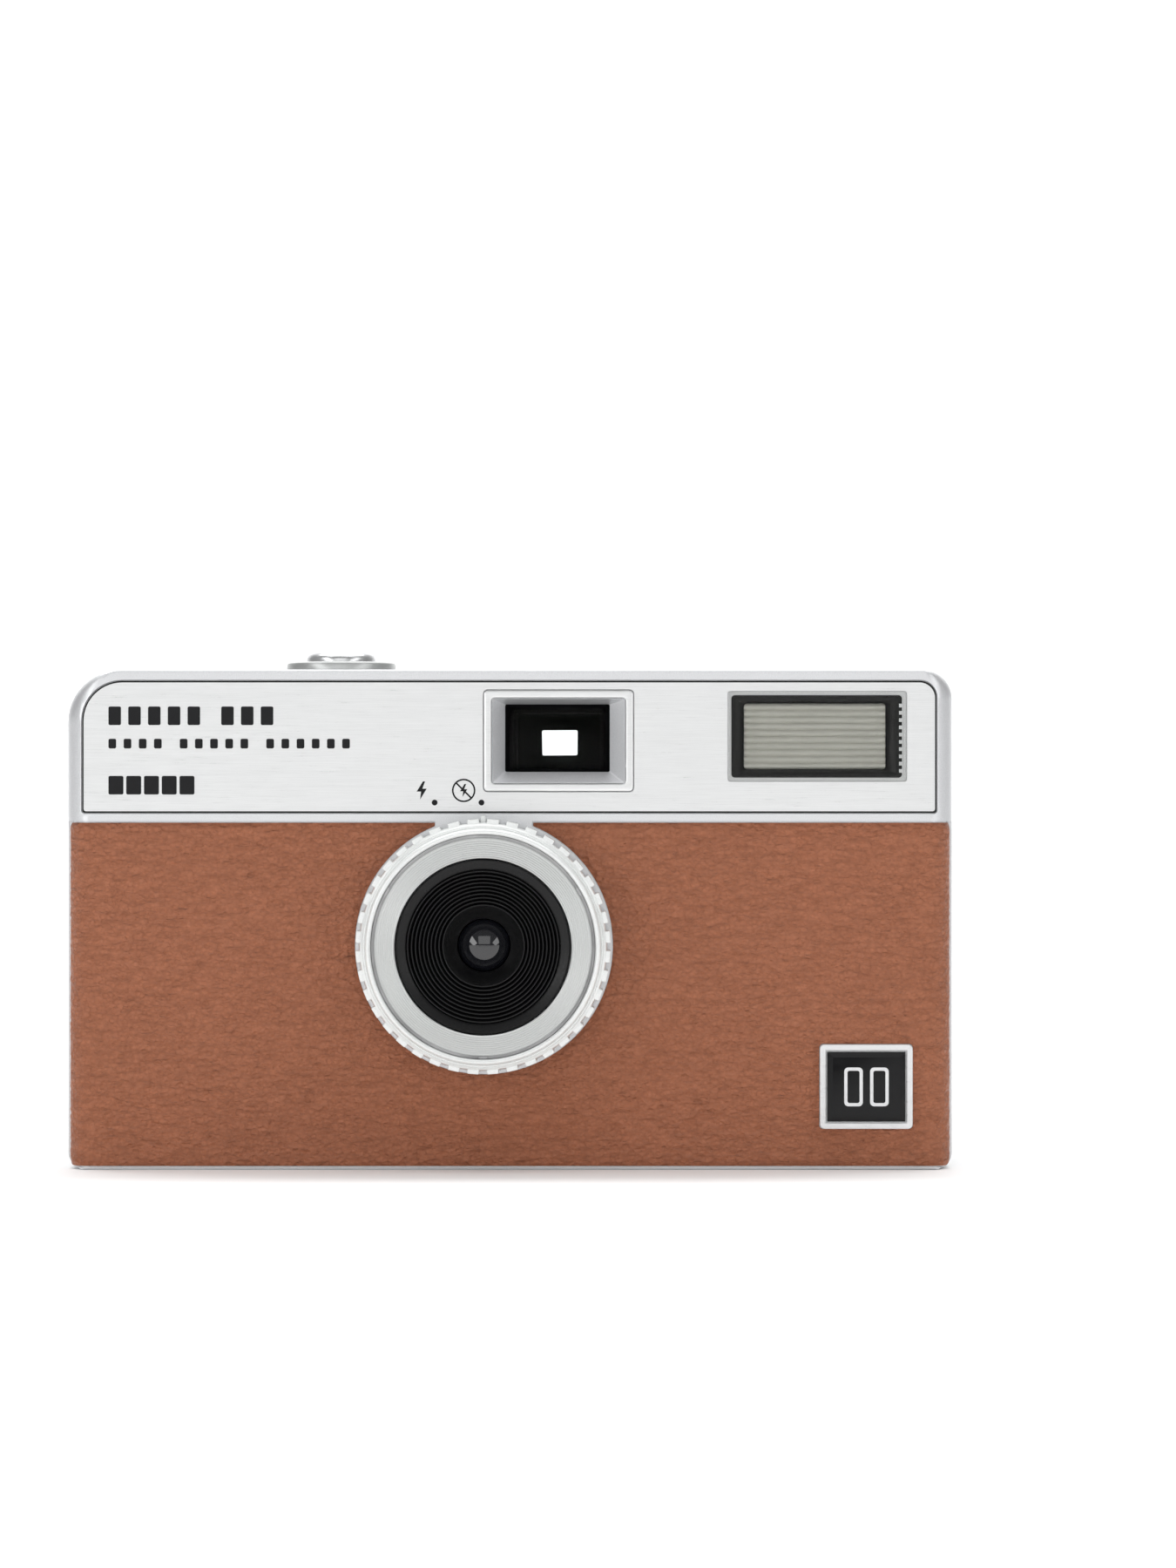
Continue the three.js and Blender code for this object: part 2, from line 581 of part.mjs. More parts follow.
place('viewfinder_bezel', viewfinderBezel(), brushedSilver);
place('viewfinder_funnel', viewfinderFunnel(), silverPaint);
place('viewfinder_front_lens', box([-0.9, 12.7], [-9.1, -8.2], [49, 57.6]), glass);
place('viewfinder_tunnel', viewfinderTunnel(), blackPlastic);
place('viewfinder_rear_lens', lensElement(FINDER.x, FINDER.z, 2.9, [11, 11.8], 0.3, 0, 24), glass);
place('eyepiece_frame', eyepieceFrame(), blackPlastic);

// ---------------------------------------------------------------- flash and battery

function flashReflector() {
  const outer = polygon([
    [-11.4, 49.9], [-5.8, 51.9], [-4.6, 53], [-4.6, 54.5], [-5.8, 55.6], [-11.4, 57.6],
  ]);
  const inner = polygon([
    [-12, 50.2], [-6.1, 52.3], [-5.1, 53.2], [-5.1, 54.3], [-6.1, 55.2], [-12, 57.3],
  ]);
  return plateX(outer, [28.5, 47.7]).subtract(plateX(inner, [29, 47.2]));
}

function flashCapacitor() {
  return turnedZ([[0, 5], [4.2, 5], [4.6, 5.4], [4.6, 37.6], [4.2, 38], [0, 38]], 47.9, 8.6);
}

function circuitBoard() {
  return cut(box([27, 52], [-3.5, 13.5], [51, 52.2]), [
    cylinderZ(29.5, 11, 1.1, [50, 53], 16),
    cylinderZ(49.5, 11, 1.1, [50, 53], 16),
  ]);
}

function batteryDoor() {
  return join([
    box([53.55, 54.95], [-9, 1], [BATTERY_PIN.z, 47.2]),
    cylinderY(BATTERY_PIN.x, BATTERY_PIN.z, 0.7, [-9, 1], 20),
  ]).subtract(cylinderY(BATTERY_PIN.x, BATTERY_PIN.z, 0.42, [-10, 2], 12));
}

const flashLens = box([FLASH.x0, FLASH.x1], [FRONT - 0.2, FRONT + 0.65], [FLASH.z0, FLASH.z1]);
place('flash_lens', flashLens, clearPlastic);
place('flash_reflector', flashReflector(), chrome);
place('flash_tube', cylinderX(-7.3, 53.75, 1, [29.3, 46.9], 16), glass);
place('flash_capacitor', flashCapacitor(), glossBlack);
place('flash_circuit_board', circuitBoard(), board);
place('flash_ready_lamp', cylinderY(22, FINDER.z + 1, 1.2, [14.7, REAR + 0.3], 20), redLamp);
place('battery_contact_plate', box([43, 52.4], [-8.7, 0.7], [46.2, 46.7]), springSteel);
place('battery_contact_spring', coilSpring(BATTERY.x, BATTERY.y, 3, 0.35, [3.6, 8.6], 4), springSteel);
place('battery_door', batteryDoor(), silverPaint);
place('battery_door_pin', cylinderY(BATTERY_PIN.x, BATTERY_PIN.z, 0.28, [-10, 2], 10), springSteel);

// ---------------------------------------------------------------- film transport

function advanceWheel() {
  const rim = plateZ(toothedRound(SPOOL.x, SPOOL.y, WHEEL.r, WHEEL.r - 0.45, 36), [WHEEL.z0, WHEEL.z1]);
  return cut(rim, [
    cylinderZ(SPOOL.x, SPOOL.y, 11, [WHEEL.z1 - 1.2, WHEEL.z1 + 1], 36),
  ]);
}

function takeupSpool() {
  const filmSlot = box([SPOOL.x - 5, SPOOL.x + 5], [SPOOL.y - 0.5, SPOOL.y + 0.5], [12, 38]);
  return turnedZ([
    [0, 3.8], [8.6, 3.8], [8.6, 4.8], [4.2, 4.8], [4.2, 45], [8.6, 45], [8.6, 46], [2.4, 46],
    [2.4, WHEEL.z0 - GAP], [0, WHEEL.z0 - GAP],
  ], SPOOL.x, SPOOL.y).subtract(filmSlot);
}

function sprocketShaft() {
  const { x, y, r } = SPROCKET;
  const rows = [-14.1, 14.1].map((offset) => {
    const middle = LENS_Z + offset;
    return plateZ(toothedRound(x, y, r + 0.8, r, 8), [middle - 0.7, middle + 0.7])
      .add(cylinderZ(x, y, r, [middle - 2.4, middle + 2.4], 24));
  });
  return join([
    cylinderZ(x, y, 1.6, [5.4, 48], 16),
    cylinderZ(x, y, 3.2, [9.2, 46], 20),
    ...rows,
  ]);
}

function counterDial() {
  return turnedZ([
    [0, 55.3], [1.5, 55.3], [1.5, 58.2], [8.5, 58.2], [8.5, 59], [0, 59],
  ], SPOOL.x, SPOOL.y, 40).subtract(cylinderZ(SPOOL.x, SPOOL.y - 7.9, 0.35, [57, 60], 8));
}

function rewindKnob() {
  const { x, y, r, top } = KNOB;
  return cut(cylinderZ(x, y, r, [GAP, top], 48), [
    box([x - 7.6, x + r + 1], [y - 1.9, y + 1.9], [0, 2.1]),
  ]);
}

function rewindCrank() {
  const { x, y } = KNOB;
  return join([
    box([x - 5.6, x + 6.4], [y - 1.5, y + 1.5], [0.45, 1.45]),
    cylinderY(x + 6.4, 0.95, 0.62, [y - 1.5, y + 1.5], 16),
    cylinderZ(x - 5.6, y, 1.5, [0.35, 1.7], 20),
  ]);
}

function rewindFork() {
  const { x, y } = KNOB;
  return join([
    cylinderZ(x, y, 2.4, [KNOB.top + 0.2, 6.4], 20),
    box([x - 2.1, x + 2.1], [y - 0.6, y + 0.6], [6.2, 11]),
  ]);
}

function rewindReleaseButton() {
  return turnedZ(
    [[0, 0.3], [1.7, 0.3], [2, 0.6], [2, 3.4], [1, 3.4], [1, 6.6], [0, 6.6]],
    RELEASE.x, RELEASE.y, 20,
  );
}

place('advance_wheel', advanceWheel(), blackPlastic);
place('takeup_spool', takeupSpool(), blackPlastic);
place('sprocket_shaft', sprocketShaft(), blackPlastic);
place('counter_dial', counterDial(), whitePlastic);
const counterWindow = cylinderZ(COUNTER_WINDOW.x, COUNTER_WINDOW.y, 2.6, [60.8, 61.95], 24);
place('counter_window', counterWindow, clearPlastic);
place('rewind_knob', rewindKnob(), blackPlastic);
place('rewind_crank', rewindCrank(), chrome);
place('rewind_fork', rewindFork(), blackPlastic);
place('rewind_release_button', rewindReleaseButton(), blackPlastic);
place('rewind_release_spring', coilSpring(RELEASE.x, RELEASE.y, 1.6, 0.22, [3.5, 5.5], 3), springSteel);

// ---------------------------------------------------------------- rear door

function rearDoor() {
  const panel = bodyForm(0, [DOOR_IN, REAR]).intersect(box([HINGE.x, 60], [10, 20], [GAP, DOOR_TOP]));
  const knuckle = cylinderZ(HINGE.x, HINGE.y, HINGE.r, [GAP, DOOR_TOP], 28);
  return cut(panel.add(knuckle), [
    box([-60, -51.7], [10, 20], [-1, 2.3]),
    cylinderZ(HINGE.x, HINGE.y, 0.85, [0, 60], 16),
    box([-49.2, 39.5], [14, 15.4], [3, 49.3]),
    box([-50, 52.3], [16.8, 20], [2.5, 47.5]),
    box([53.2, 60], [10, 20], [14.7, 29.3]),
  ]);
}

// A slider in the door's free edge, with a hook that reaches into the shell.
function doorLatch() {
  return box([53.5, 54.9], [14.8, 17.2], [19.5, 29]).add(box([53.7, 54.5], [12.5, 15], [24, 26.6]));
}

// A leaf bowed towards the pressure plate.
function pressureSpring() {
  const leaf = new THREE.Shape();
  const [left, right] = [LENS_X - 11, LENS_X + 11];
  leaf.moveTo(left, 14.9);
  leaf.quadraticCurveTo(LENS_X, 11.8, right, 14.9);
  leaf.lineTo(right, 15.2);
  leaf.quadraticCurveTo(LENS_X, 12.1, left, 15.2);
  return plateZ(leaf, [LENS_Z - 4, LENS_Z + 4], 12);
}

place('rear_door', rearDoor(), silverPaint);
place('rear_leather', box([-49.7, 52], [16.95, REAR], [2.8, 47.2]), leather);
place('door_latch', doorLatch(), chrome);
place('door_hinge_pin', cylinderZ(HINGE.x, HINGE.y, 0.55, [0.9, 52.6], 12), springSteel);
place('pressure_plate', box([-18, 11.6], [11.4, 12.3], [11, 44.6]), blackPlastic);
place('pressure_spring', pressureSpring(), springSteel);

export default camera;
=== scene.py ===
# Looks of a half frame camera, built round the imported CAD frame. Metres, in the frame's own axes:
# +Z up, the lens looks along -Y.

import math

import bmesh
import bpy
from mathutils import Matrix, Vector, noise


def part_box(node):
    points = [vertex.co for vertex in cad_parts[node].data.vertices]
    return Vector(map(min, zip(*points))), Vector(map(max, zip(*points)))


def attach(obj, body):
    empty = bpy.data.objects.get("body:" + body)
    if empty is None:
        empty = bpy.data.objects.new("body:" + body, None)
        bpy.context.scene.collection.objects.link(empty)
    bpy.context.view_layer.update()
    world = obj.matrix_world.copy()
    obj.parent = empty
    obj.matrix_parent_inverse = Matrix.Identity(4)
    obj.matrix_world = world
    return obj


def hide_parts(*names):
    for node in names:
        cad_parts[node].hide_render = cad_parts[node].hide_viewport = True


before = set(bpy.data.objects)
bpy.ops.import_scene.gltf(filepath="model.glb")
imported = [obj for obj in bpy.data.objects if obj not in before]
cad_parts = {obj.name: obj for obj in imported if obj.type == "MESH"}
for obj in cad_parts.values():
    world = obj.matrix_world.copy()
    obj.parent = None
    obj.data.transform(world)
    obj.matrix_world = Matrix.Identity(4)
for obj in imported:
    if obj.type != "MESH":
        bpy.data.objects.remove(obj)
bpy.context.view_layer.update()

MM = 0.001
HALF_W = 55 * MM
HEIGHT = 62 * MM
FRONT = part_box("front_shell")[0].y
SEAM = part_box("front_leather")[1].z            # top edge of the leather
SHELL_REAR = 14.2 * MM
DOOR_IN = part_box("rear_door")[0].y
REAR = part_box("rear_door")[1].y


def middle(node):
    """Centre of a CAD node's box."""
    low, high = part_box(node)
    return (low + high) / 2


LENS = middle("lens_face_ring")
BUTTON = middle("shutter_button")
SPOOL = middle("takeup_spool")
KNOB = middle("rewind_knob")


# ---------------------------------------------------------------- material nodes

def new_material(name, color, roughness, metallic=0.0, **sockets):
    """A Principled material; extra sockets are given by name with spaces as underscores."""
    material = bpy.data.materials.new(name)
    material.use_nodes = True
    shader = material.node_tree.nodes["Principled BSDF"]
    shader.inputs["Base Color"].default_value = (*color, 1)
    shader.inputs["Roughness"].default_value = roughness
    shader.inputs["Metallic"].default_value = metallic
    for key, value in sockets.items():
        shader.inputs[key.replace("_", " ")].default_value = value
    return material, material.node_tree, shader


def srgb(red, green, blue):
    """A colour given as 0-255 display values, as linear light."""
    def linear(value):
        value /= 255
        return value / 12.92 if value <= 0.04045 else ((value + 0.055) / 1.055) ** 2.4
    return linear(red), linear(green), linear(blue)


def place(tree, stretch):
    """Object coordinates, stretched per axis in cycles per metre."""
    source = tree.nodes.new("ShaderNodeTexCoord")
    mapping = tree.nodes.new("ShaderNodeMapping")
    mapping.inputs["Scale"].default_value = stretch
    tree.links.new(source.outputs["Object"], mapping.inputs["Vector"])
    return mapping.outputs["Vector"]


def noise_texture(tree, stretch, detail=3.0, roughness=0.55, distortion=0.0):
    texture = tree.nodes.new("ShaderNodeTexNoise")
    texture.inputs["Scale"].default_value = 1
    texture.inputs["Detail"].default_value = detail
    texture.inputs["Roughness"].default_value = roughness
    texture.inputs["Distortion"].default_value = distortion
    tree.links.new(place(tree, stretch), texture.inputs["Vector"])
    return texture.outputs["Fac"]


def cell_texture(tree, stretch, feature="F1"):
    texture = tree.nodes.new("ShaderNodeTexVoronoi")
    texture.feature = feature
    texture.inputs["Scale"].default_value = 1
    tree.links.new(place(tree, stretch), texture.inputs["Vector"])
    return texture.outputs["Distance"]


def ramp(tree, value, low, high, at=(0.3, 0.7)):
    """Two colours, or two greys, blended over a range of the value."""
    node = tree.nodes.new("ShaderNodeValToRGB")
    for element, place_at, color in zip(node.color_ramp.elements, at, (low, high)):
        element.position = place_at
        element.color = (*color, 1) if isinstance(color, tuple) else (color, color, color, 1)
    tree.links.new(value, node.inputs["Fac"])
    return node.outputs["Color"]


def bump(tree, shader, heights, distance=0.00005):
    """Sums the heights into one bump; each height is (value, strength)."""
    normal = None
    for value, strength in heights:
        node = tree.nodes.new("ShaderNodeBump")
        node.inputs["Strength"].default_value = strength
        node.inputs["Distance"].default_value = distance
        tree.links.new(value, node.inputs["Height"])
        if normal:
            tree.links.new(normal, node.inputs["Normal"])
        normal = node.outputs["Normal"]
    tree.links.new(normal, shader.inputs["Normal"])


def mix_colors(tree, amount, first, second, mode="MIX"):
    node = tree.nodes.new("ShaderNodeMix")
    node.data_type = "RGBA"
    node.blend_type = mode
    if isinstance(amount, float):
        node.inputs["Factor"].default_value = amount
    else:
        tree.links.new(amount, node.inputs["Factor"])
    tree.links.new(first, node.inputs["A"])
    tree.links.new(second, node.inputs["B"])
    return node.outputs["Result"]


# ---------------------------------------------------------------- materials

def silver_paint(name="silver_paint"):
    """Satin silver with a fine sparkle and slow changes of tone."""
    base = srgb(222, 223, 225)
    material, tree, shader = new_material(name, base, 0.38, 0.7, Coat_Weight=0.15, Coat_Roughness=0.25)
    sparkle = noise_texture(tree, (9000, 9000, 9000), detail=2)
    slow = noise_texture(tree, (60, 60, 60))
    fine = ramp(tree, sparkle, tuple(c * 0.9 for c in base), tuple(min(c * 1.12, 1) for c in base))
    broad = ramp(tree, slow, tuple(c * 0.96 for c in base), base)
    tree.links.new(mix_colors(tree, 0.35, fine, broad), shader.inputs["Base Color"])
    tree.links.new(ramp(tree, sparkle, 0.32, 0.46), shader.inputs["Roughness"])
    bump(tree, shader, [(sparkle, 0.12), (noise_texture(tree, (900, 900, 900)), 0.08)])
    return material


def brushed_silver(name="brushed_silver", stretch=(260, 6000, 14000), tone=236):
    """Bright silver with fine straight brush lines along X."""
    base = srgb(tone, tone + 1, tone + 1)
    material, tree, shader = new_material(name, base, 0.34, 0.8)
    lines = noise_texture(tree, stretch, detail=6, roughness=0.7)
    long_lines = noise_texture(tree, tuple(s * f for s, f in zip(stretch, (0.12, 1, 0.35))), detail=4)
    tint = ramp(tree, lines, tuple(c * 0.86 for c in base), base, at=(0.25, 0.6))
    broad = ramp(tree, long_lines, tuple(c * 0.93 for c in base), base)
    tree.links.new(mix_colors(tree, 0.4, tint, broad), shader.inputs["Base Color"])
    tree.links.new(ramp(tree, lines, 0.26, 0.44), shader.inputs["Roughness"])
    bump(tree, shader, [(lines, 0.22), (long_lines, 0.1)], distance=0.00002)
    return material


def turned_silver(name="turned_silver", tone=200, metallic=0.7):
    """Satin silver with a faint grain, for turned rings."""
    base = srgb(tone, tone + 2, tone + 1)
    material, tree, shader = new_material(name, base, 0.36, metallic)
    grain = noise_texture(tree, (5000, 5000, 5000), detail=3)
    tree.links.new(ramp(tree, grain, tuple(c * 0.93 for c in base), base), shader.inputs["Base Color"])
    tree.links.new(ramp(tree, grain, 0.3, 0.42), shader.inputs["Roughness"])
    bump(tree, shader, [(grain, 0.08)], distance=0.00002)
    return material


def leather_material(name="leather"):
    """Reddish brown leather: slanting creases with painted shade in their hollows, pebbled grain and slow
    changes of colour.
    """
    light, dark = srgb(172, 106, 74), srgb(136, 78, 51)
    material, tree, shader = new_material(name, light, 0.52, Specular_IOR_Level=0.4)
    pebble = cell_texture(tree, (1500, 1500, 1900))
    crease = noise_texture(tree, (420, 420, 1100), detail=5, roughness=0.65, distortion=1.2)
    pores = noise_texture(tree, (5200, 5200, 5200), detail=2)
    slow = noise_texture(tree, (45, 45, 45), detail=3)
    # Painted shade: the colour runs dark where the crease noise, and so the bump, is low.
    tone = ramp(tree, crease, dark, light, at=(0.36, 0.6))
    wash = ramp(tree, slow, tuple(c * 0.84 for c in light), tuple(min(c * 1.05, 1) for c in light))
    worn = ramp(tree, pebble, tuple(c * 1.04 for c in light), tuple(c * 0.8 for c in light), at=(0.2, 0.8))
    blend = mix_colors(tree, 0.5, mix_colors(tree, 0.45, tone, wash), worn)
    tree.links.new(blend, shader.inputs["Base Color"])
    tree.links.new(ramp(tree, crease, 0.5, 0.32), shader.inputs["Roughness"])
    bump(tree, shader, [(pebble, 0.7), (crease, 0.9), (pores, 0.25)], distance=0.0005)
    return material


def black_plastic(name="black_plastic", roughness=0.45, tone=20, specular=0.4):
    base = srgb(tone, tone, tone + 1)
    material, tree, shader = new_material(name, base, roughness, Specular_IOR_Level=specular)
    grain = noise_texture(tree, (3800, 3800, 3800), detail=3)
    slow = noise_texture(tree, (150, 150, 150))
    tint = ramp(tree, slow, tuple(c * 0.75 for c in base), tuple(c * 1.35 for c in base))
    tree.links.new(tint, shader.inputs["Base Color"])
    tree.links.new(ramp(tree, grain, roughness - 0.07, roughness + 0.1), shader.inputs["Roughness"])
    bump(tree, shader, [(grain, 0.15)], distance=0.00003)
    return material


def polished(name, color, roughness=0.08, metallic=0.0, **sockets):
    """A smooth bright surface with faint handling marks."""
    material, tree, shader = new_material(name, color, roughness, metallic, **sockets)
    marks = noise_texture(tree, (300, 300, 900), detail=4)
    tree.links.new(ramp(tree, marks, roughness, roughness + 0.08), shader.inputs["Roughness"])
    tint = ramp(tree, marks, tuple(c * 0.92 for c in color), color)
    tree.links.new(tint, shader.inputs["Base Color"])
    bump(tree, shader, [(marks, 0.02)], distance=0.00002)
    return material


def clear_material(name, color, roughness=0.03, ior=1.5, coat=0.5):
    """Clear glass or plastic, very slightly uneven in tint."""
    material, tree, shader = new_material(name, color, roughness, Transmission_Weight=1.0, IOR=ior,
                                          Coat_Weight=coat, Coat_Roughness=0.03, Coat_IOR=1.4)
    tint = noise_texture(tree, (90, 90, 90))
    tree.links.new(ramp(tree, tint, tuple(c * 0.97 for c in color), color), shader.inputs["Base Color"])
    return material


def steel(name="spring_steel"):
    return polished(name, srgb(176, 178, 180), 0.28, 1.0)


def board_material():
    """Circuit board green with paler tracks."""
    base = srgb(38, 92, 52)
    material, tree, shader = new_material("board", base, 0.4, Coat_Weight=0.4)
    tracks = cell_texture(tree, (500, 260, 500), feature="DISTANCE_TO_EDGE")
    tree.links.new(ramp(tree, tracks, srgb(74, 138, 82), base, at=(0.04, 0.08)), shader.inputs["Base Color"])
    bump(tree, shader, [(tracks, 0.2)])
    return material


def foam_material():
    base = srgb(34, 34, 35)
    material, tree, shader = new_material("foam", base, 0.95, Sheen_Weight=0.4)
    pores = cell_texture(tree, (4200, 4200, 4200))
    tree.links.new(ramp(tree, pores, base, tuple(c * 0.5 for c in base)), shader.inputs["Base Color"])
    bump(tree, shader, [(pores, 0.6)], distance=0.0001)
    return material


SILVER = silver_paint()
BRUSHED = brushed_silver()
TURNED = turned_silver()
RING_SILVER = turned_silver("ring_silver", 238, 0.4)
LEATHER = leather_material()
BLACK = black_plastic()
CONE_BLACK = black_plastic("cone_black", 0.34, 10, 0.3)
GLOSS_BLACK = polished("gloss_black", srgb(12, 12, 14), 0.1, Specular_IOR_Level=0.25)
CHROME = polished("chrome", srgb(226, 227, 229), 0.14, 1.0)
CHROME_SATIN = polished("chrome_satin", srgb(228, 229, 230), 0.24, 0.9)
REFLECTOR = polished("reflector", srgb(206, 204, 196), 0.22, 1.0)
STEEL = steel()
GLASS = clear_material("glass", (0.9, 0.93, 0.95), 0.0, 1.12)
# Opaque, with painted shade: the near black base colour stands in for the dark lens interior seen through
# clear glass; the coat gives its reflections.
LENS_GLASS_PAINTED_SHADE = polished("lens_glass_painted_shade", srgb(20, 21, 26), 0.03, Coat_Weight=1.0)
FINDER_GLASS = clear_material("finder_glass", (0.92, 0.94, 0.95), 0.0, 1.05, 0.08)
CLEAR = clear_material("clear_plastic", (0.96, 0.965, 0.95), 0.0, 1.15)
RIBBED = polished("ribbed_clear", srgb(196, 195, 187), 0.16, Specular_IOR_Level=0.8)
# Painted light: a light grey copy of black_plastic for the black lens barrel, so the deep gap between the
# rings shows a light line instead of its shade.
GAP_PAINTED_LIGHT = black_plastic("gap_painted_light", 0.5, 172, 0.3)
TUNNEL_BLACK = black_plastic("tunnel_black", 0.85, 7, 0.02)
FOAM = foam_material()
BOARD = board_material()
WHITE = polished("white_plastic", srgb(232, 233, 234), 0.25)
LAMP = polished("red_lamp", srgb(196, 66, 34), 0.12, Transmission_Weight=0.3)
PRINT = polished("print_black", srgb(26, 26, 28), 0.45, Specular_IOR_Level=0.2)


# ---------------------------------------------------------------- mesh tools

def to_object(name, mesh_builder, sharp_deg=32):
    """Closes a bmesh into a new object, smooth except at edges sharper than the angle."""
    bmesh.ops.recalc_face_normals(mesh_builder, faces=mesh_builder.faces)
    for face in mesh_builder.faces:
        face.smooth = True
    for edge in mesh_builder.edges:
        edge.smooth = len(edge.link_faces) == 2 and edge.calc_face_angle() < math.radians(sharp_deg)
    mesh = bpy.data.meshes.new(name)
    mesh_builder.to_mesh(mesh)
    mesh_builder.free()
    obj = bpy.data.objects.new(name, mesh)
    bpy.context.scene.collection.objects.link(obj)
    return obj


def loft(name, rings, loop=False):
    """A skin over rings of points, joined last to first in a loop, otherwise capped at both ends."""
    builder = bmesh.new()
    rows = [[builder.verts.new(point) for point in ring] for ring in rings]
    count = len(rows[0])
    pairs = list(zip(rows, rows[1:])) + ([(rows[-1], rows[0])] if loop else [])
    for lower, upper in pairs:
        for i in range(count):
            j = (i + 1) % count
            builder.faces.new((lower[i], lower[j], upper[j], upper[i]))
    if not loop:
        builder.faces.new(rows[0])
        builder.faces.new(rows[-1])
    return to_object(name, builder)


def lathe(name, center, profile, axis="Y", steps=128):
    """Turns a closed profile of (radius, place along the axis) in metres about an axis through center."""
    builder = bmesh.new()
    rows = []
    for radius, along in profile:
        row = []
        for i in range(steps if radius > 0 else 1):
            angle = 2 * math.pi * i / steps
            across, up = radius * math.cos(angle), radius * math.sin(angle)
            if axis == "Y":
                point = (center.x + across, along, center.z + up)
            else:
                point = (center.x + across, center.y + up, along)
            row.append(builder.verts.new(point))
        rows.append(row)
    for first, second in zip(rows, rows[1:] + rows[:1]):
        for i in range(steps):
            corners = [first[i % len(first)], first[(i + 1) % len(first)],
                       second[(i + 1) % len(second)], second[i % len(second)]]
            corners = list(dict.fromkeys(corners))
            if len(corners) > 2:
                builder.faces.new(corners)
    return to_object(name, builder)


def mm_profile(*points):
    return [(radius * MM, along * MM) for radius, along in points]


def rounded_outline(left, right, low, high, radii, steps=10, squeeze=(0, 0)):
    """(u, v) points of a rectangle with radii for top left, top right, bottom right, bottom left.
    squeeze pulls the sides and the top and bottom in, and the corners with them."""
    pull_u, pull_v = squeeze
    points = []
    corners = ((right, low, -90, radii[2]), (right, high, 0, radii[1]),
               (left, high, 90, radii[0]), (left, low, 180, radii[3]))
    for corner_u, corner_v, start, radius in corners:
        side_u = -1 if corner_u == right else 1
        side_v = -1 if corner_v == high else 1
        radius_u = max(radius - pull_u, 0.02 * MM)
        radius_v = max(radius - pull_v, 0.02 * MM)
        center_u = corner_u + side_u * (pull_u + radius_u)
        center_v = corner_v + side_v * (pull_v + radius_v)
        for i in range(steps + 1):
            angle = math.radians(start + 90 * i / steps)
            points.append((center_u + radius_u * math.cos(angle), center_v + radius_v * math.sin(angle)))
    return points


def plate(name, outline, low, high, axis="Y", edge=0.0):
    """A flat plate: an outline in the other two axes, with its rims rounded by edge."""
    center_u = sum(u for u, _ in outline) / len(outline)
    center_v = sum(v for _, v in outline) / len(outline)

    def ring(along, pull):
        points = []
        for u, v in outline:
            away = Vector((u - center_u, v - center_v))
            u, v = Vector((u, v)) - away.normalized() * pull if pull else (u, v)
            points.append({"Y": (u, along, v), "Z": (u, v, along), "X": (along, u, v)}[axis])
        return points
    if not edge:
        return loft(name, [ring(low, 0), ring(high, 0)])
    angles = (0, 0.5, 1.0, math.pi / 2)
    rings = [ring(low + edge * (1 - math.cos(a)), edge * (1 - math.sin(a))) for a in angles]
    rings += [ring(high - edge * (1 - math.cos(a)), edge * (1 - math.sin(a))) for a in angles[::-1]]
    return loft(name, rings)


def block(name, x, y, z, radius=0.0, axis="Z", edge=0.0):
    """A box given by its spans, with rounded corners round one axis."""
    spans = {"X": (y, z, x), "Y": (x, z, y), "Z": (x, y, z)}[axis]
    (left, right), (low, high), (start, end) = spans
    outline = rounded_outline(left, right, low, high, (radius,) * 4, 5)
    return plate(name, outline, start, end, axis, edge)


def mm_block(name, x, y, z, radius=0.0, axis="Z", edge=0.0):
    """A block with its spans, corner radius and edge rounding in millimetres."""
    return block(name, mm_span(*x), mm_span(*y), mm_span(*z), radius * MM, axis, edge * MM)


def mm_span(*values):
    return tuple(v * MM for v in values)


def about(middle_at, half):
    """The span that reaches half a millimetre value to each side of a place."""
    return middle_at - half * MM, middle_at + half * MM


def mm_ring(x, z, y, radius):
    """A ring for a loft: a rounded rectangle facing forward, in millimetres."""
    outline = rounded_outline(*mm_span(*x), *mm_span(*z), (radius * MM,) * 4, 6)
    return [(u, y * MM, v) for u, v in outline]


def drawn_in(span, pull):
    return span[0] + pull, span[1] - pull


def bake(obj):
    """Applies an object's modifiers to its mesh."""
    graph = bpy.context.evaluated_depsgraph_get()
    mesh = bpy.data.meshes.new_from_object(obj.evaluated_get(graph))
    obj.modifiers.clear()
    obj.data = mesh
    return obj


def combine(obj, others, operation="DIFFERENCE"):
    """Cuts the others out of obj, or joins them to it."""
    for other in others:
        modifier = obj.modifiers.new("combine", "BOOLEAN")
        modifier.operation = operation
        modifier.solver = "EXACT"
        modifier.object = other
        bake(obj)
        bpy.data.objects.remove(other)
    return obj


def soften(obj, width=0.12, segments=2, angle=40):
    """Rounds sharp edges by a width in millimetres."""
    modifier = obj.modifiers.new("soften", "BEVEL")
    modifier.width = width * MM
    modifier.segments = segments
    modifier.limit_method = "ANGLE"
    modifier.angle_limit = math.radians(angle)
    modifier.harden_normals = False
    bake(obj)
    resmooth(obj)
    obj.modifiers.new("flat_faces", "WEIGHTED_NORMAL").keep_sharp = True
    return obj


def resmooth(obj, sharp_deg=38):
    builder = bmesh.new()
    builder.from_mesh(obj.data)
    for face in builder.faces:
        face.smooth = True
    for edge in builder.edges:
        edge.smooth = len(edge.link_faces) == 2 and edge.calc_face_angle() < math.radians(sharp_deg)
    builder.to_mesh(obj.data)
    builder.free()
    return obj


def merge(name, objects):
    """Several meshes as one piece, without cutting them."""
    builder = bmesh.new()
    for obj in objects:
        builder.from_mesh(obj.data)
        bpy.data.objects.remove(obj)
    return to_object(name, builder)


def finish_piece(obj, material, body, slot, *nodes):
    obj.data.materials.clear()
    obj.data.materials.append(material)
    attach(obj, body)
    if nodes:
        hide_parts(*nodes)
    return obj


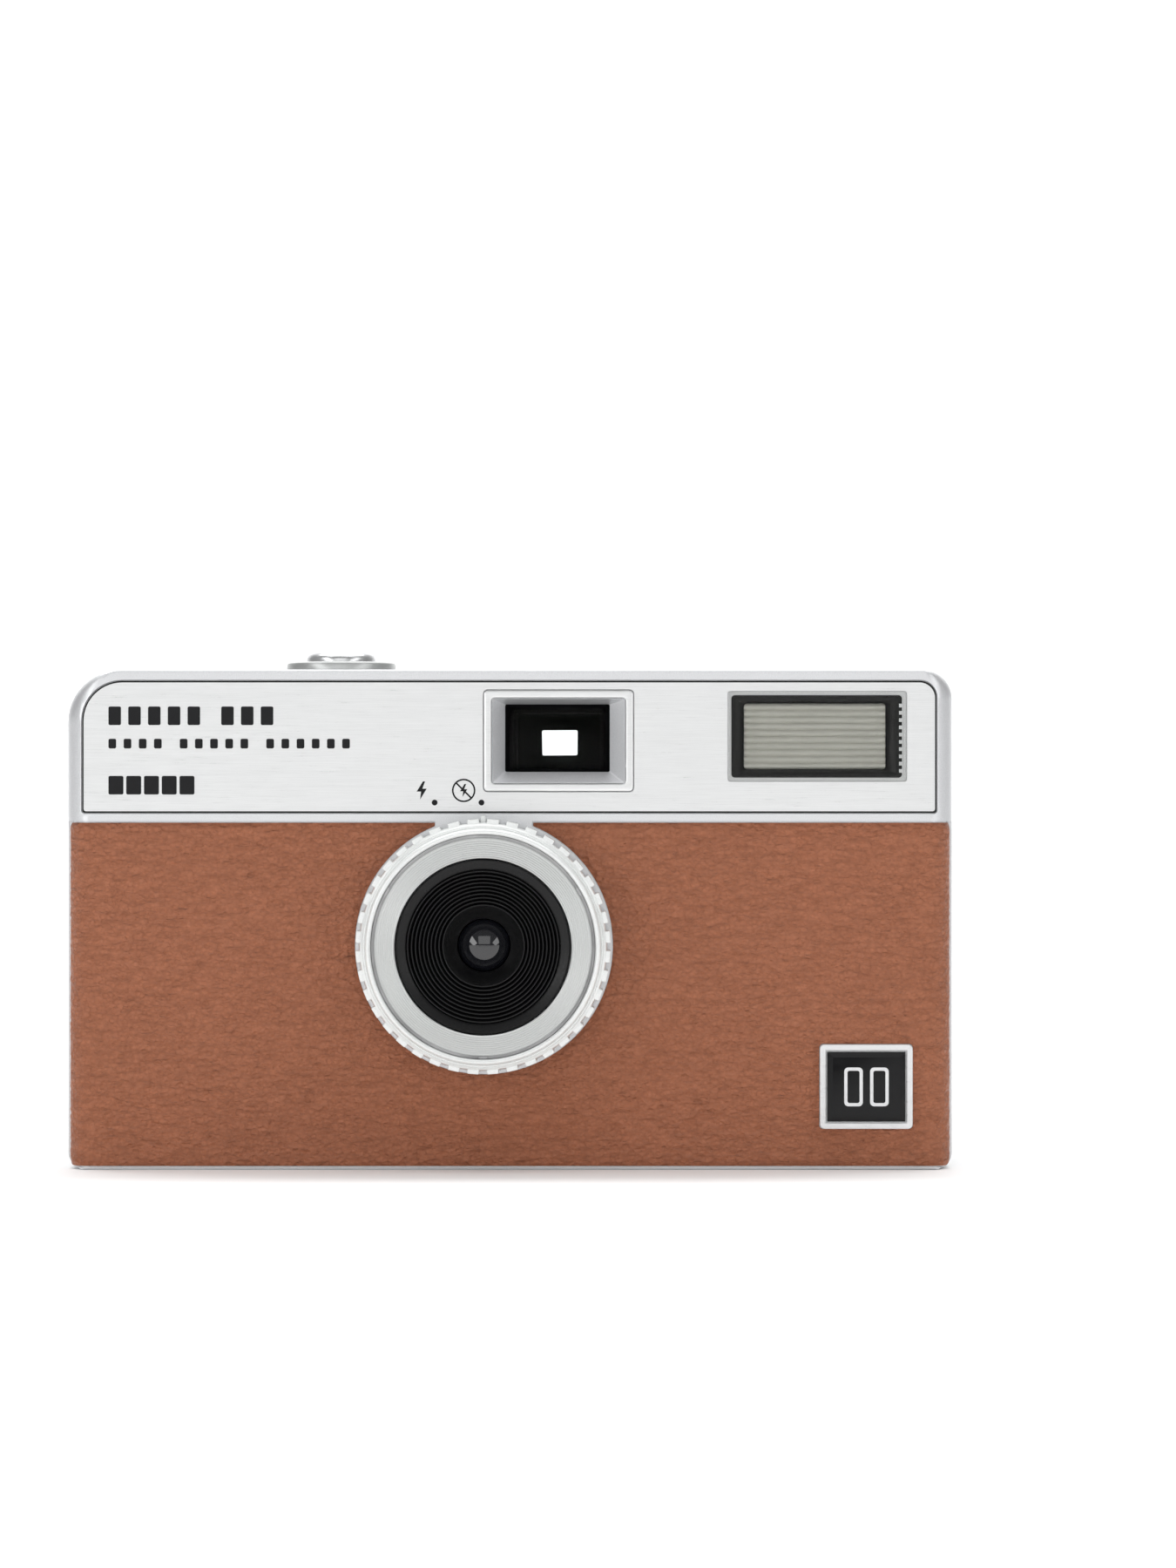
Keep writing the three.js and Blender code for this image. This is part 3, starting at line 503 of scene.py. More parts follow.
def refine(node, material, body, slot, width=0.12):
    """The CAD node's own shape with flat faces joined up and its edges rounded."""
    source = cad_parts[node]
    builder = bmesh.new()
    builder.from_mesh(source.data)
    builder.transform(source.matrix_world)
    bmesh.ops.remove_doubles(builder, verts=builder.verts, dist=1e-6)
    bmesh.ops.dissolve_limit(builder, angle_limit=math.radians(1), verts=builder.verts, edges=builder.edges)
    obj = to_object(node + "_detail", builder)
    soften(obj, width)
    return finish_piece(obj, material, body, slot, node)


# ---------------------------------------------------------------- case

BODY_RADII = mm_span(6.5, 3.6, 2, 2)
FRONT_ROUND = 3 * MM


def body_ring(y, pull_x, pull_z):
    outline = rounded_outline(-HALF_W, HALF_W, 0, HEIGHT, BODY_RADII, 12, (pull_x, pull_z))
    return [(x, y, z) for x, z in outline]


def body_skin(name, wall):
    """The shell before anything is cut: rounded front edges outside, a thin wall, open at the rear."""
    rings = []
    for i in range(7):
        angle = math.radians(15 * i)
        pull_x = FRONT_ROUND * (1 - math.sin(angle))
        y = FRONT + FRONT_ROUND * (1 - math.cos(angle))
        rings.append(body_ring(y, pull_x, 0.7 * MM * max(0, 1 - i / 2) ** 2))
    rings.append(body_ring(SHELL_REAR - 0.2 * MM, 0, 0))
    rings.append(body_ring(SHELL_REAR, 0.2 * MM, 0.2 * MM))
    rings.append(body_ring(SHELL_REAR, wall, wall))
    rings.append(body_ring(FRONT + wall + FRONT_ROUND / 2, wall, wall))
    rings.append(body_ring(FRONT + wall, wall + FRONT_ROUND / 2, wall))
    return loft(name, rings)


def plan_prism(name, pull, low, high):
    outline = rounded_outline(-HALF_W + pull, HALF_W - pull, FRONT + pull, 30 * MM,
                              (0.1 * MM, 0.1 * MM, FRONT_ROUND - pull, FRONT_ROUND - pull), 12)
    return plate(name, outline, low, high, "Z")


def round_bar(name, center, radius, low, high, axis, steps=64):
    return lathe(name, center, [(0, low), (radius, low), (radius, high), (0, high)], axis, steps)


def keyhole(name, radius, half_slot):
    """The round opening for the lens with its short slot up to the seam."""
    round_part = round_bar(name, LENS, radius, -20 * MM, 0, "Y", 160)
    slot_part = block("slot", (LENS.x - half_slot, LENS.x + half_slot), (-20 * MM, 0),
                      (LENS.z + 5 * MM, SEAM + 3 * MM))
    return combine(round_part, [slot_part], "UNION")


def leather_recess():
    cutter = block("recess", mm_span(-60, 60), mm_span(-20, -9.7), (0.3 * MM, SEAM + 0.2 * MM))
    plan = plan_prism("plan", 0.75 * MM, -5 * MM, 70 * MM)
    return combine(cutter, [plan, keyhole("hole", 15.9 * MM, 6 * MM)])


def plane_prism(name, x, z, radii, y=(-30, -5), steps=10):
    outline = rounded_outline(*mm_span(*x), *mm_span(*z), mm_span(*radii), steps)
    return plate(name, outline, *mm_span(*y))


SCREWS = [middle(f"base_screw_{i}") for i in range(1, 5)]
FASCIA_RADII = (5.1, 2.2, 0.5, 0.5)


def front_shell():
    shell = body_skin("front_shell_detail", 1.5 * MM)
    lug = mm_block("lug", (-54.9, -52), (13.2, 17.5), (0.05, 2), 1.3)
    combine(shell, [lug], "UNION")
    window = middle("counter_window")
    release = middle("rewind_release_button")
    cutters = [
        leather_recess(),
        plane_prism("fascia_cut", (-53.1, 53), (44.1, 60.7), FASCIA_RADII, (-20, -12.2)),
        round_bar("lens_cut", LENS, 13.9 * MM, -20 * MM, -8 * MM, "Y", 128),
        plane_prism("finder_cut", (-2.95, 15.05), (47.2, 59.1), (0.5,) * 4),
        plane_prism("flash_cut", (28.2, 48), (49.3, 58), (0.3,) * 4),
        round_bar("button_cut", BUTTON, 5.9 * MM, 58 * MM, 64 * MM, "Z"),
        round_bar("window_cut", window, 2.9 * MM, 58 * MM, 64 * MM, "Z"),
        round_bar("knob_cut", KNOB, 9.4 * MM, -2 * MM, 3 * MM, "Z", 96),
        round_bar("release_cut", release, 2.4 * MM, -2 * MM, 3 * MM, "Z"),
        mm_block("battery_cut", (50, 60), (-9.3, 1.3), (3.9, 47.5), 0.3, "X"),
        mm_block("strap_cut", (-60, -50), (3.5, 10.5), (36, 44), 0.8, "X"),
        mm_block("latch_cut", (52.4, 60), (11.9, 20), (13.8, 30)),
    ]
    cutters += [round_bar("screw_cut", screw, 1.7 * MM, -2 * MM, 1.05 * MM, "Z", 40) for screw in SCREWS]
    combine(shell, cutters)
    soften(shell, 0.09)
    return finish_piece(shell, SILVER, "body", "silver_paint", "front_shell")


def rear_slab(name):
    """The case's outline from the door's inner face to the rounded rear edge."""
    levels = ((DOOR_IN, 0.15), (DOOR_IN + 0.15 * MM, 0), (REAR - 1.2 * MM, 0),
              (REAR - 0.55 * MM, 0.2), (REAR - 0.15 * MM, 0.6), (REAR, 1.2))
    return loft(name, [body_ring(y, pull * MM, pull * MM) for y, pull in levels])


def rear_top_cover():
    cover = rear_slab("rear_top_cover_detail")
    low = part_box("rear_top_cover")[0].z
    wheel_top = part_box("advance_wheel")[1].z
    finder = middle("eyepiece_frame")
    cutters = [
        block("below", mm_span(-60, 60), mm_span(0, 30), (-10 * MM, low)),
        block("wheel_cut", about(SPOOL.x, 11.4), mm_span(0, 30),
              (low - 3 * MM, wheel_top + 0.6 * MM), 0.6 * MM, "Y"),
        block("finder_cut", about(finder.x, 4.7), mm_span(0, 30), mm_span(50.7, 56.3),
              0.5 * MM, "Y"),
        round_bar("lamp_cut", middle("flash_ready_lamp"), 1.5 * MM, 0, 30 * MM, "Y"),
    ]
    combine(cover, cutters)
    soften(cover, 0.12)
    return finish_piece(cover, SILVER, "body", "silver_paint", "rear_top_cover")


def top_fascia():
    panel = plane_prism("top_fascia_detail", (-52.78, 52.68), (44.42, 60.38), (4.8, 1.9, 0.3, 0.3),
                        (-12.9, -12.35), 14)
    # Painted shadow: a black plate, a little larger than the fascia and behind it, darkens the gap round the
    # fascia.
    seam = plane_prism("fascia_shadow_plate", (-52.98, 52.88), (44.22, 60.58), (5, 2, 0.3, 0.3),
                       (-12.6, -12.36), 14)
    flash_low, flash_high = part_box("flash_lens")
    bezel_low, bezel_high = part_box("viewfinder_bezel")
    gap = 0.12 * MM
    for piece in (panel, seam):
        combine(piece, [
            block("bezel_cut", (bezel_low.x - gap, bezel_high.x + gap), mm_span(-20, 0),
                  (bezel_low.z - gap, bezel_high.z + gap), 0.6 * MM, "Y"),
            block("flash_cut", (flash_low.x - gap, flash_high.x + gap), mm_span(-20, 0),
                  (flash_low.z - gap, flash_high.z + gap), 0.4 * MM, "Y"),
        ])
    # The black plate is painted shadow in the gap round the fascia.
    finish_piece(seam, BLACK, "body", "black_plastic")
    soften(panel, 0.07)
    return finish_piece(panel, BRUSHED, "body", "brushed_silver", "top_fascia")


# ---------------------------------------------------------------- leather

def leather_height(x, z):
    """Grain height in metres: slanting creases over a pebbled ground."""
    u, v = x / MM, z / MM
    slant = noise.noise(Vector((u * 0.55 - v * 0.35, (u + v) * 1.15, 3.0)))
    crease = -max(0.0, 0.55 - abs(slant) * 4) * 0.14
    pebble = noise.noise(Vector((u * 1.9, v * 2.1, 8.0))) * 0.07
    swell = noise.noise(Vector((u * 0.12, v * 0.15, 1.0))) * 0.03
    return (crease + pebble + swell) * MM


def edge_roll(distance, width=0.7 * MM, drop=0.28 * MM):
    """How far the sheet's face falls as it comes within width of an edge."""
    share = max(0.0, 1 - distance / width)
    return drop * share * share


def sheet_solid(name, columns, rows, outer, inner):
    """A closed sheet from two grids of points, outer(i, j) and inner(i, j)."""
    builder = bmesh.new()
    grids = []
    for side in (outer, inner):
        grids.append([[builder.verts.new(side(i, j)) for j in range(rows + 1)] for i in range(columns + 1)])
    for grid in grids:
        for i in range(columns):
            for j in range(rows):
                builder.faces.new((grid[i][j], grid[i + 1][j], grid[i + 1][j + 1], grid[i][j + 1]))
    rim = [(i, 0) for i in range(columns)] + [(columns, j) for j in range(rows)]
    rim += [(i, rows) for i in range(columns, 0, -1)] + [(0, j) for j in range(rows, 0, -1)]
    for (i, j), (k, m) in zip(rim, rim[1:] + rim[:1]):
        builder.faces.new((grids[0][i][j], grids[0][k][m], grids[1][k][m], grids[1][i][j]))
    return to_object(name, builder, 60)


def front_leather():
    """Wraps round both upright front edges; cells of about 0.4 mm."""
    low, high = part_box("front_leather")
    outset, inset = 0.28 * MM, 0.6 * MM
    straight = HALF_W - FRONT_ROUND
    turn = FRONT_ROUND * math.pi / 2
    columns, rows = 270, 100
    total = 2 * straight + 2 * turn
    corner_low = 1.6 * MM

    def plan(share, pull):
        """Point of the plan outline, pulled in from the case's face."""
        along = share * total - total / 2
        side = 1 if along > 0 else -1
        past = abs(along) - straight
        if past <= 0:
            return along, FRONT + pull
        angle = past / FRONT_ROUND
        reach = FRONT_ROUND - pull
        return side * (straight + reach * math.sin(angle)), FRONT + FRONT_ROUND - reach * math.cos(angle)

    def height(i, j):
        share = abs(i / columns - 0.5) * total
        foot = low.z
        past = share - (total / 2 - corner_low)
        if past > 0:
            foot += corner_low - math.sqrt(max(corner_low ** 2 - past ** 2, 0))
        return foot + (high.z - foot) * j / rows

    def outer(i, j):
        z = height(i, j)
        x, _ = plan(i / columns, 0)
        around = math.hypot(x - LENS.x, z - LENS.z) - 16 * MM
        side = min(i, columns - i) / columns * total
        distance = min(z - low.z, high.z - z, side, max(around, 0))
        pull = outset + edge_roll(distance) - leather_height(i / columns * total, z)
        x, y = plan(i / columns, min(max(pull, 0.03 * MM), inset - 0.05 * MM))
        return x, y, z

    def inner(i, j):
        x, y = plan(i / columns, inset)
        return x, y, height(i, j)

    sheet = sheet_solid("front_leather_detail", columns, rows, outer, inner)
    badge_low, badge_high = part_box("badge_frame")
    gap = 0.06 * MM
    combine(sheet, [
        keyhole("hole", 16 * MM, 6.1 * MM),
        block("badge_cut", (badge_low.x - gap, badge_high.x + gap), mm_span(-20, 0),
              (badge_low.z - gap, badge_high.z + gap), 0.5 * MM, "Y"),
    ])
    resmooth(sheet, 50)
    return finish_piece(sheet, LEATHER, "body", "leather", "front_leather")


def rear_leather():
    low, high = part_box("rear_leather")
    columns, rows = 240, 104

    def point(i, j, y):
        return low.x + (high.x - low.x) * i / columns, y, low.z + (high.z - low.z) * j / rows

    def outer(i, j):
        x, _, z = point(i, j, 0)
        distance = min(x - low.x, high.x - x, z - low.z, high.z - z)
        return x, high.y - 0.08 * MM - edge_roll(distance) + leather_height(x + 0.2, z), z

    sheet = sheet_solid("rear_leather_detail", columns, rows, outer, lambda i, j: point(i, j, low.y))
    return finish_piece(sheet, LEATHER, "rear_door", "leather", "rear_leather")


# ---------------------------------------------------------------- badge, marks and fasteners

def nested_plate(name, x, z, radii, levels):
    """A plate front built from (inset, y) levels of one rounded rectangle, capped at both ends."""
    rings = []
    for pull, y in levels:
        outline = rounded_outline(*mm_span(*x), *mm_span(*z), mm_span(*radii), 6, mm_span(pull, pull))
        rings.append([(u, y * MM, v) for u, v in outline])
    return loft(name, rings)


def badge():
    low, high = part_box("badge_frame")
    x, z = (low.x / MM, high.x / MM), (low.z / MM, high.z / MM)
    frame_piece = nested_plate("badge_frame_detail", x, z, (0.6,) * 4, (
        (0, -12.42), (0, -13.4), (0.05, -13.52), (0.2, -13.58), (0.55, -13.58), (0.7, -13.5), (0.75, -13.12),
    ))
    finish_piece(frame_piece, WHITE, "body", "white_plastic", "badge_frame")
    tile = nested_plate("badge_tile_detail", x, z, (0.6,) * 4, (
        (0.92, -13.2), (0.92, -13.45), (0.98, -13.56), (1.5, -13.68), (1.6, -13.69),
    ))
    finish_piece(tile, GLOSS_BLACK, "body", "gloss_black", "badge_tile")
    center = (low + high) / 2
    bars = []
    for side in (-1, 1):
        left, right = sorted((center.x + side * 0.45 * MM, center.x + side * 2.75 * MM))
        outer = block("frame", (left, right), mm_span(-13.7, -13.66), about(center.z, 2.4), 0.5 * MM, "Y")
        hole = block("hole", (left + 0.4 * MM, right - 0.4 * MM), mm_span(-14, -13), about(center.z, 2),
                     0.25 * MM, "Y")
        bars.append(combine(outer, [hole]))
    finish_piece(merge("badge_mark", bars), WHITE, "body", "white_plastic")


MARK_Y = mm_span(-12.93, -12.88)


def mark_plate(name, points, y=MARK_Y):
    return plate(name, [(x * MM, z * MM) for x, z in points], *y)


def bolt_points(x, z, scale=1.0):
    """A lightning bolt about its centre, in millimetres."""
    shape = ((0.15, 1.12), (-0.62, -0.14), (-0.08, -0.14), (-0.2, -1.12),
             (0.62, 0.22), (0.08, 0.22), (0.42, 1.12))
    return [(x + u * scale, z + v * scale) for u, v in reversed(shape)]


def block_row(left, low, width, height, pitch, groups):
    """Plain upright blocks in groups, where a maker's wording would be printed."""
    blocks = []
    x = left
    for count in groups:
        for _ in range(count):
            blocks.append(block("block", mm_span(x, x + width), MARK_Y, mm_span(low, low + height),
                                0.2 * MM, "Y"))
            x += pitch
        x += pitch * 0.7
    return blocks


def printed_marks():
    """Flash on and flash off symbols with their dots, and plain rules in place of lettering."""
    marks = [mark_plate("bolt", bolt_points(-10.9, 47)),
             mark_plate("bolt_small", bolt_points(-5.7, 47, 0.72))]
    ring_center = Vector((-5.7 * MM, 0, 47 * MM))
    near, far = MARK_Y
    inner, outer = mm_span(1.25, 1.45)
    ring = [(inner, near), (outer, near), (outer, far), (inner, far)]
    marks.append(lathe("no_flash_ring", ring_center, ring, "Y", 64))
    slash = [(-6.72, 47.88), (-6.58, 48.02), (-4.68, 46.12), (-4.82, 45.98)]
    marks.append(mark_plate("slash", slash, (MARK_Y[0] - 0.01 * MM, MARK_Y[1])))
    for x in (-9.3, -3.5):
        marks.append(round_bar("dot", Vector((x * MM, 0, 45.5 * MM)), 0.36 * MM, *MARK_Y, "Y", 32))
    marks += block_row(-49.7, 55.1, 1.55, 2.3, 2.45, (5, 3))
    marks += block_row(-49.7, 52.2, 0.95, 1.2, 1.88, (4, 5, 6))
    marks += block_row(-49.7, 46.5, 1.85, 2.3, 2.2, (5,))
    finish_piece(merge("printed_marks", marks), PRINT, "body", "black_plastic")


def base_screws():
    for index, center in enumerate(SCREWS, 1):
        node = f"base_screw_{index}"
        profile = mm_profile((0, 0.3), (0.9, 0.3), (1.25, 0.36), (1.4, 0.55), (1.4, 0.95), (0.7, 1.0),
                             (0.7, 4), (0, 4.1))
        head = lathe(node + "_detail", center, profile, "Z", 48)
        slots = [block("slot", about(center.x, half_x), about(center.y, half_y), mm_span(0, 0.7))
                 for half_x, half_y in ((0.85, 0.16), (0.16, 0.85))]
        combine(head, slots)
        finish_piece(resmooth(head), STEEL, "body", "spring_steel", node)


# ---------------------------------------------------------------- lens

def switch_ring():
    """Knurled ring: pads round the rim, a rolled lip with fine lines, and a pointer."""
    profile = [(13.8, -13.35), (15.2, -13.35), (15.25, -18.3), (15.1, -18.62), (14.85, -18.78)]
    profile += [(14.8, -18.74), (14.72, -18.9), (14.62, -18.92), (14.58, -18.88), (14.5, -19.05)]
    lip = [(14.15 + 0.33 * math.cos(a), -19.12 - 0.36 * math.sin(a)) for a in
           (math.pi * i / 12 for i in range(1, 12))]
    profile += lip + [(13.8, -19.0)]
    core = lathe("ring_core", LENS, mm_profile(*profile), "Y", 192)
    parts = [core]
    count = 40
    for i in range(count):
        pad = mm_block("pad", (14.9, 15.68), (-18.55, -13.4), (-0.72, 0.72), 0.12, "Y", 0.12)
        turn = Matrix.Rotation(2 * math.pi * (i + 0.5) / count, 4, "Y")
        pad.data.transform(Matrix.Translation((LENS.x, 0, LENS.z)) @ turn)
        parts.append(pad)
    pointer = block("pointer", (LENS.x - 0.28 * MM, LENS.x + 0.28 * MM), mm_span(-17, -14.2),
                    (LENS.z + 15 * MM, LENS.z + 16.05 * MM), 0.12 * MM, "Y", 0.05 * MM)
    return finish_piece(merge("flash_switch_ring_detail", parts + [pointer]), RING_SILVER,
                        "flash_switch_ring", "silver_paint", "flash_switch_ring")


def face_ring():
    profile = [(10.9, -18.5), (13.35, -18.5), (13.4, -18.9), (13.3, -18.98)]
    for i in range(8):
        radius = 13.0 - i * 0.26
        profile += [(radius + 0.05, -18.99), (radius, -18.965), (radius - 0.05, -18.99)]
    profile += [(11.05, -19.0), (10.9, -18.9)]
    ring = lathe("lens_face_ring_detail", LENS, mm_profile(*profile), "Y", 160)
    return finish_piece(ring, TURNED, "body", "brushed_silver", "lens_face_ring")


def barrel():
    profile = mm_profile((12.2, -18.2), (13.4, -18.2), (13.4, -11.45), (15.6, -11.45), (15.6, -11.25),
                         (13.4, -11.25), (13.4, -9.4), (12.2, -9.4))
    # The shoulder and the barrel carry the painted light grey that lightens the gap between the rings.
    shoulder = mm_profile((13.3, -18.72), (13.74, -18.72), (13.74, -18.4), (13.3, -18.4))
    parts = [lathe("barrel", LENS, profile, "Y", 128), lathe("shoulder", LENS, shoulder, "Y", 128)]
    for angle in (30, 150, 270):
        clip = mm_block("clip", (13.42, 13.75), (-18.95, -18), (-0.55, 0.55), 0.1, "Y", 0.05)
        turn = Matrix.Rotation(math.radians(-angle), 4, "Y")
        clip.data.transform(Matrix.Translation((LENS.x, 0, LENS.z)) @ turn)
        parts.append(clip)
    return finish_piece(merge("lens_barrel_detail", parts), GAP_PAINTED_LIGHT, "body", "black_plastic", "lens_barrel")


def cone():
    """Flat rim band, ten ribbed steps, then a smooth throat down to the glass."""
    profile = [(10.6, -18.2), (10.72, -18.75), (10.55, -18.88), (9.75, -18.62), (9.5, -18.5)]
    steps = 10
    for i in range(1, steps + 1):
        radius = 9.5 - 4.7 * i / steps
        y = -18.5 + 4.5 * i / steps
        profile += [(radius + 0.42, y - 0.34), (radius + 0.3, y - 0.72), (radius + 0.16, y - 0.72),
                    (radius, y)]
    profile += [(3.9, -12.9), (3.35, -12.35), (3.3, -11.95), (5.4, -11.9), (10.6, -17.5)]
    piece = lathe("lens_cone_detail", LENS, mm_profile(*profile), "Y", 160)
    return finish_piece(piece, CONE_BLACK, "body", "black_plastic", "lens_cone")


def glass_disc(name, center, radius, y0, y1, bulge, material, slot, *nodes):
    """A round lens with curved faces and a ground edge."""
    rings = 10
    front = [(radius * i / rings, y0 - bulge * (1 - (i / rings) ** 2)) for i in range(rings + 1)]
    back = [(radius * i / rings, y1 + 0.4 * bulge * (1 - (i / rings) ** 2)) for i in range(rings, -1, -1)]
    piece = lathe(name, center, mm_profile(*front, *back), "Y", 96)
    return finish_piece(piece, material, "body", slot, *nodes)


def lens():
    switch_ring()
    face_ring()
    barrel()
    cone()
    # The front element is opaque; its dark colour is painted shade standing in for the lens interior.
    glass_disc("lens_front_detail", LENS, 3.2, -11.6, -11.0, 1.25, LENS_GLASS_PAINTED_SHADE, "glass", "lens_front_element")
    glass_disc("lens_rear_detail", LENS, 3.8, -9.8, -9.4, 0.1, GLASS, "glass", "lens_rear_element")
    washer = mm_profile((1.2, -10.35), (3.9, -10.35), (3.9, -10.1), (1.2, -10.1))
    stop = lathe("aperture_stop_detail", LENS, washer)
    finish_piece(stop, TUNNEL_BLACK, "body", "black_plastic", "aperture_stop")


# ---------------------------------------------------------------- top

def shutter_button():
    profile = [(0, 51), (1.5, 51), (1.5, 60.6), (4.3, 60.6), (4.42, 60.8), (4.42, 63.3)]
    angles = [math.pi / 16 * i for i in range(1, 9)]
    profile += [(3.42 + math.cos(a), 63.35 + 1.05 * math.sin(a)) for a in angles]
    profile += [(2.4, 64.46), (1.2, 64.36), (0, 64.32)]
    piece = lathe("shutter_button_detail", BUTTON, mm_profile(*profile), "Z", 128)
    return finish_piece(piece, CHROME_SATIN, "shutter_button", "chrome", "shutter_button")


def button_collar():
    profile = [(1.8, 56.5), (5.6, 56.5), (5.6, 62.05), (6.8, 62.05), (6.9, 62.2), (6.9, 62.7), (6.78, 63.0),
               (6.45, 63.17), (6.1, 63.2), (5.1, 63.2), (4.85, 63.1), (4.75, 62.9), (4.75, 57.3), (1.8, 57.3)]
    piece = lathe("button_collar_detail", BUTTON, mm_profile(*profile), "Z", 128)
    return finish_piece(piece, TURNED, "body", "silver_paint", "button_collar")


def counter():
    center = middle("counter_window")
    lens_profile = mm_profile((0, 60.8), (2.6, 60.8), (2.6, 61.8), (2.45, 61.95), (0, 62.0))
    window = lathe("counter_window_detail", center, lens_profile, "Z", 64)
    finish_piece(window, CLEAR, "body", "clear_plastic", "counter_window")
    profile = mm_profile((0, 55.3), (1.5, 55.3), (1.5, 58.2), (8.4, 58.2), (8.5, 58.3), (8.5, 58.9),
                         (8.4, 59), (0, 59))
    dial = lathe("counter_dial_detail", SPOOL, profile, "Z", 96)
    finish_piece(dial, WHITE, "counter", "white_plastic", "counter_dial")
    ticks = []
    for i in range(36):
        length = 1.6 if i % 6 == 0 else 0.8
        tick = mm_block("tick", (8.1 - length, 8.1), (-0.1, 0.1), (58.99, 59.03))
        turn = Matrix.Rotation(2 * math.pi * i / 36 - math.pi / 2, 4, "Z")
        tick.data.transform(Matrix.Translation((SPOOL.x, SPOOL.y, 0)) @ turn)
        ticks.append(tick)
    finish_piece(merge("counter_ticks", ticks), PRINT, "counter", "black_plastic")


# ---------------------------------------------------------------- viewfinder

FINDER_RIM = ((-3.2, 15.3), (46.9, 59.4))


def viewfinder():
    """Flat rim, four slopes down to the opening, and a dark tunnel behind them."""
    x, z = FINDER_RIM
    rings = [mm_ring(drawn_in(x, 0.5), drawn_in(z, 0.6), y, 0.4) for y in (-9.4, -12.4)]
    levels = ((0, -12.45), (0, -13.0), (0.06, -13.14), (0.18, -13.2), (0.72, -13.2), (0.86, -13.14),
              (0.9, -13.0))
    rings += [mm_ring(drawn_in(x, pull), drawn_in(z, pull), y, 0.5) for pull, y in levels]
    rings += [mm_ring(drawn_in(x, 0.9), drawn_in(z, 0.9), -9.4, 0.3)]
    rim = loft("viewfinder_bezel_detail", rings, loop=True)
    finish_piece(rim, BRUSHED, "body", "brushed_silver", "viewfinder_bezel")
    slopes = loft("viewfinder_funnel_detail", [
        mm_ring((-2.25, 14.35), (47.85, 58.45), -12.85, 0.25),
        mm_ring((-2.15, 14.25), (47.95, 58.35), -12.95, 0.25),
        mm_ring((-0.6, 12.4), (49.3, 57.7), -11.0, 0.2),
        mm_ring((-0.6, 12.4), (49.3, 57.7), -10.6, 0.2),
        mm_ring((-0.9, 12.7), (49, 58), -10.5, 0.2),
        mm_ring((-2.25, 14.35), (47.85, 58.45), -12.4, 0.25),
    ], loop=True)
    finish_piece(slopes, SILVER, "body", "silver_paint", "viewfinder_funnel")
    window_x, window_z = (3.85, 8.25), (51.75, 54.8)
    inner_x, inner_z = (0.8, 11.2), (49.8, 56.7)
    throat = loft("viewfinder_tunnel_detail", [
        mm_ring((-0.3, 12.1), (49.2, 57.5), -7.95, 0.3),
        mm_ring((0.2, 11.9), (49.3, 57.2), -7.5, 0.3),
        mm_ring((0.4, 11.7), (49.5, 57), 13.5, 0.4),
        mm_ring(window_x, window_z, 13.5, 0.2),
        mm_ring(window_x, window_z, 13.1, 0.2),
        mm_ring(inner_x, inner_z, 13.1, 0.3),
        mm_ring(inner_x, inner_z, -7.5, 0.3),
        mm_ring((0.3, 11.6), (49.6, 57), -7.95, 0.3),
    ], loop=True)
    finish_piece(throat, TUNNEL_BLACK, "body", "black_plastic", "viewfinder_tunnel")
    mask = mm_block("viewfinder_mask", (-1.1, 12.9), (-10.3, -9.9), (48.9, 58.2), 0.2, "Y")
    combine(mask, [mm_block("hole", (-0.1, 11.9), (-12, -8), (49.6, 57.3), 0.4, "Y")])
    finish_piece(mask, TUNNEL_BLACK, "body", "black_plastic")
    window = mm_block("viewfinder_front_detail", (-0.9, 12.7), (-9.1, -8.2), (49, 57.6), 0.3, "Y", 0.12)
    finish_piece(window, FINDER_GLASS, "body", "glass", "viewfinder_front_lens")
    glass_disc("viewfinder_rear_detail", middle("viewfinder_rear_lens"), 2.6, 11.1, 11.6, 0.1,
               FINDER_GLASS, "glass", "viewfinder_rear_lens")


def eyepiece():
    low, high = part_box("eyepiece_frame")
    x, z = (low.x / MM, high.x / MM), (low.z / MM, high.z / MM)
    rings = [mm_ring(drawn_in(x, 0.9), (51, 56), y, 0.3) for y in (14, 17.55)]
    levels = ((0, 17.6), (0, 18.3), (0.15, 18.62), (0.5, 18.8), (1.0, 18.75))
    rings += [mm_ring(drawn_in(x, pull), drawn_in(z, pull), y, 0.9) for pull, y in levels]
    rings += [mm_ring((3.6, 8.5), (51.6, 54.9), 17.6, 0.4), mm_ring((3.75, 8.35), (51.65, 54.85), 14, 0.3)]
    frame_piece = loft("eyepiece_frame_detail", rings, loop=True)
    finish_piece(frame_piece, BLACK, "body", "black_plastic", "eyepiece_frame")


# ---------------------------------------------------------------- flash

def flash_window():
    """A clear block with rounded front edges."""
    low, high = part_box("flash_lens")
    columns, rows = 44, 150

    def shared(i, j):
        return low.x + (high.x - low.x) * i / columns, low.z + (high.z - low.z) * j / rows

    def outer(i, j):
        x, z = shared(i, j)
        distance = min(x - low.x, high.x - x, z - low.z, high.z - z)
        return x, -13.19 * MM + edge_roll(distance, 0.5 * MM, 0.16 * MM), z

    def inner(i, j):
        x, z = shared(i, j)
        return x, -12.4 * MM, z

    window = sheet_solid("flash_lens_detail", columns, rows, outer, inner)
    finish_piece(resmooth(window, 30), CLEAR, "body", "clear_plastic", "flash_lens")


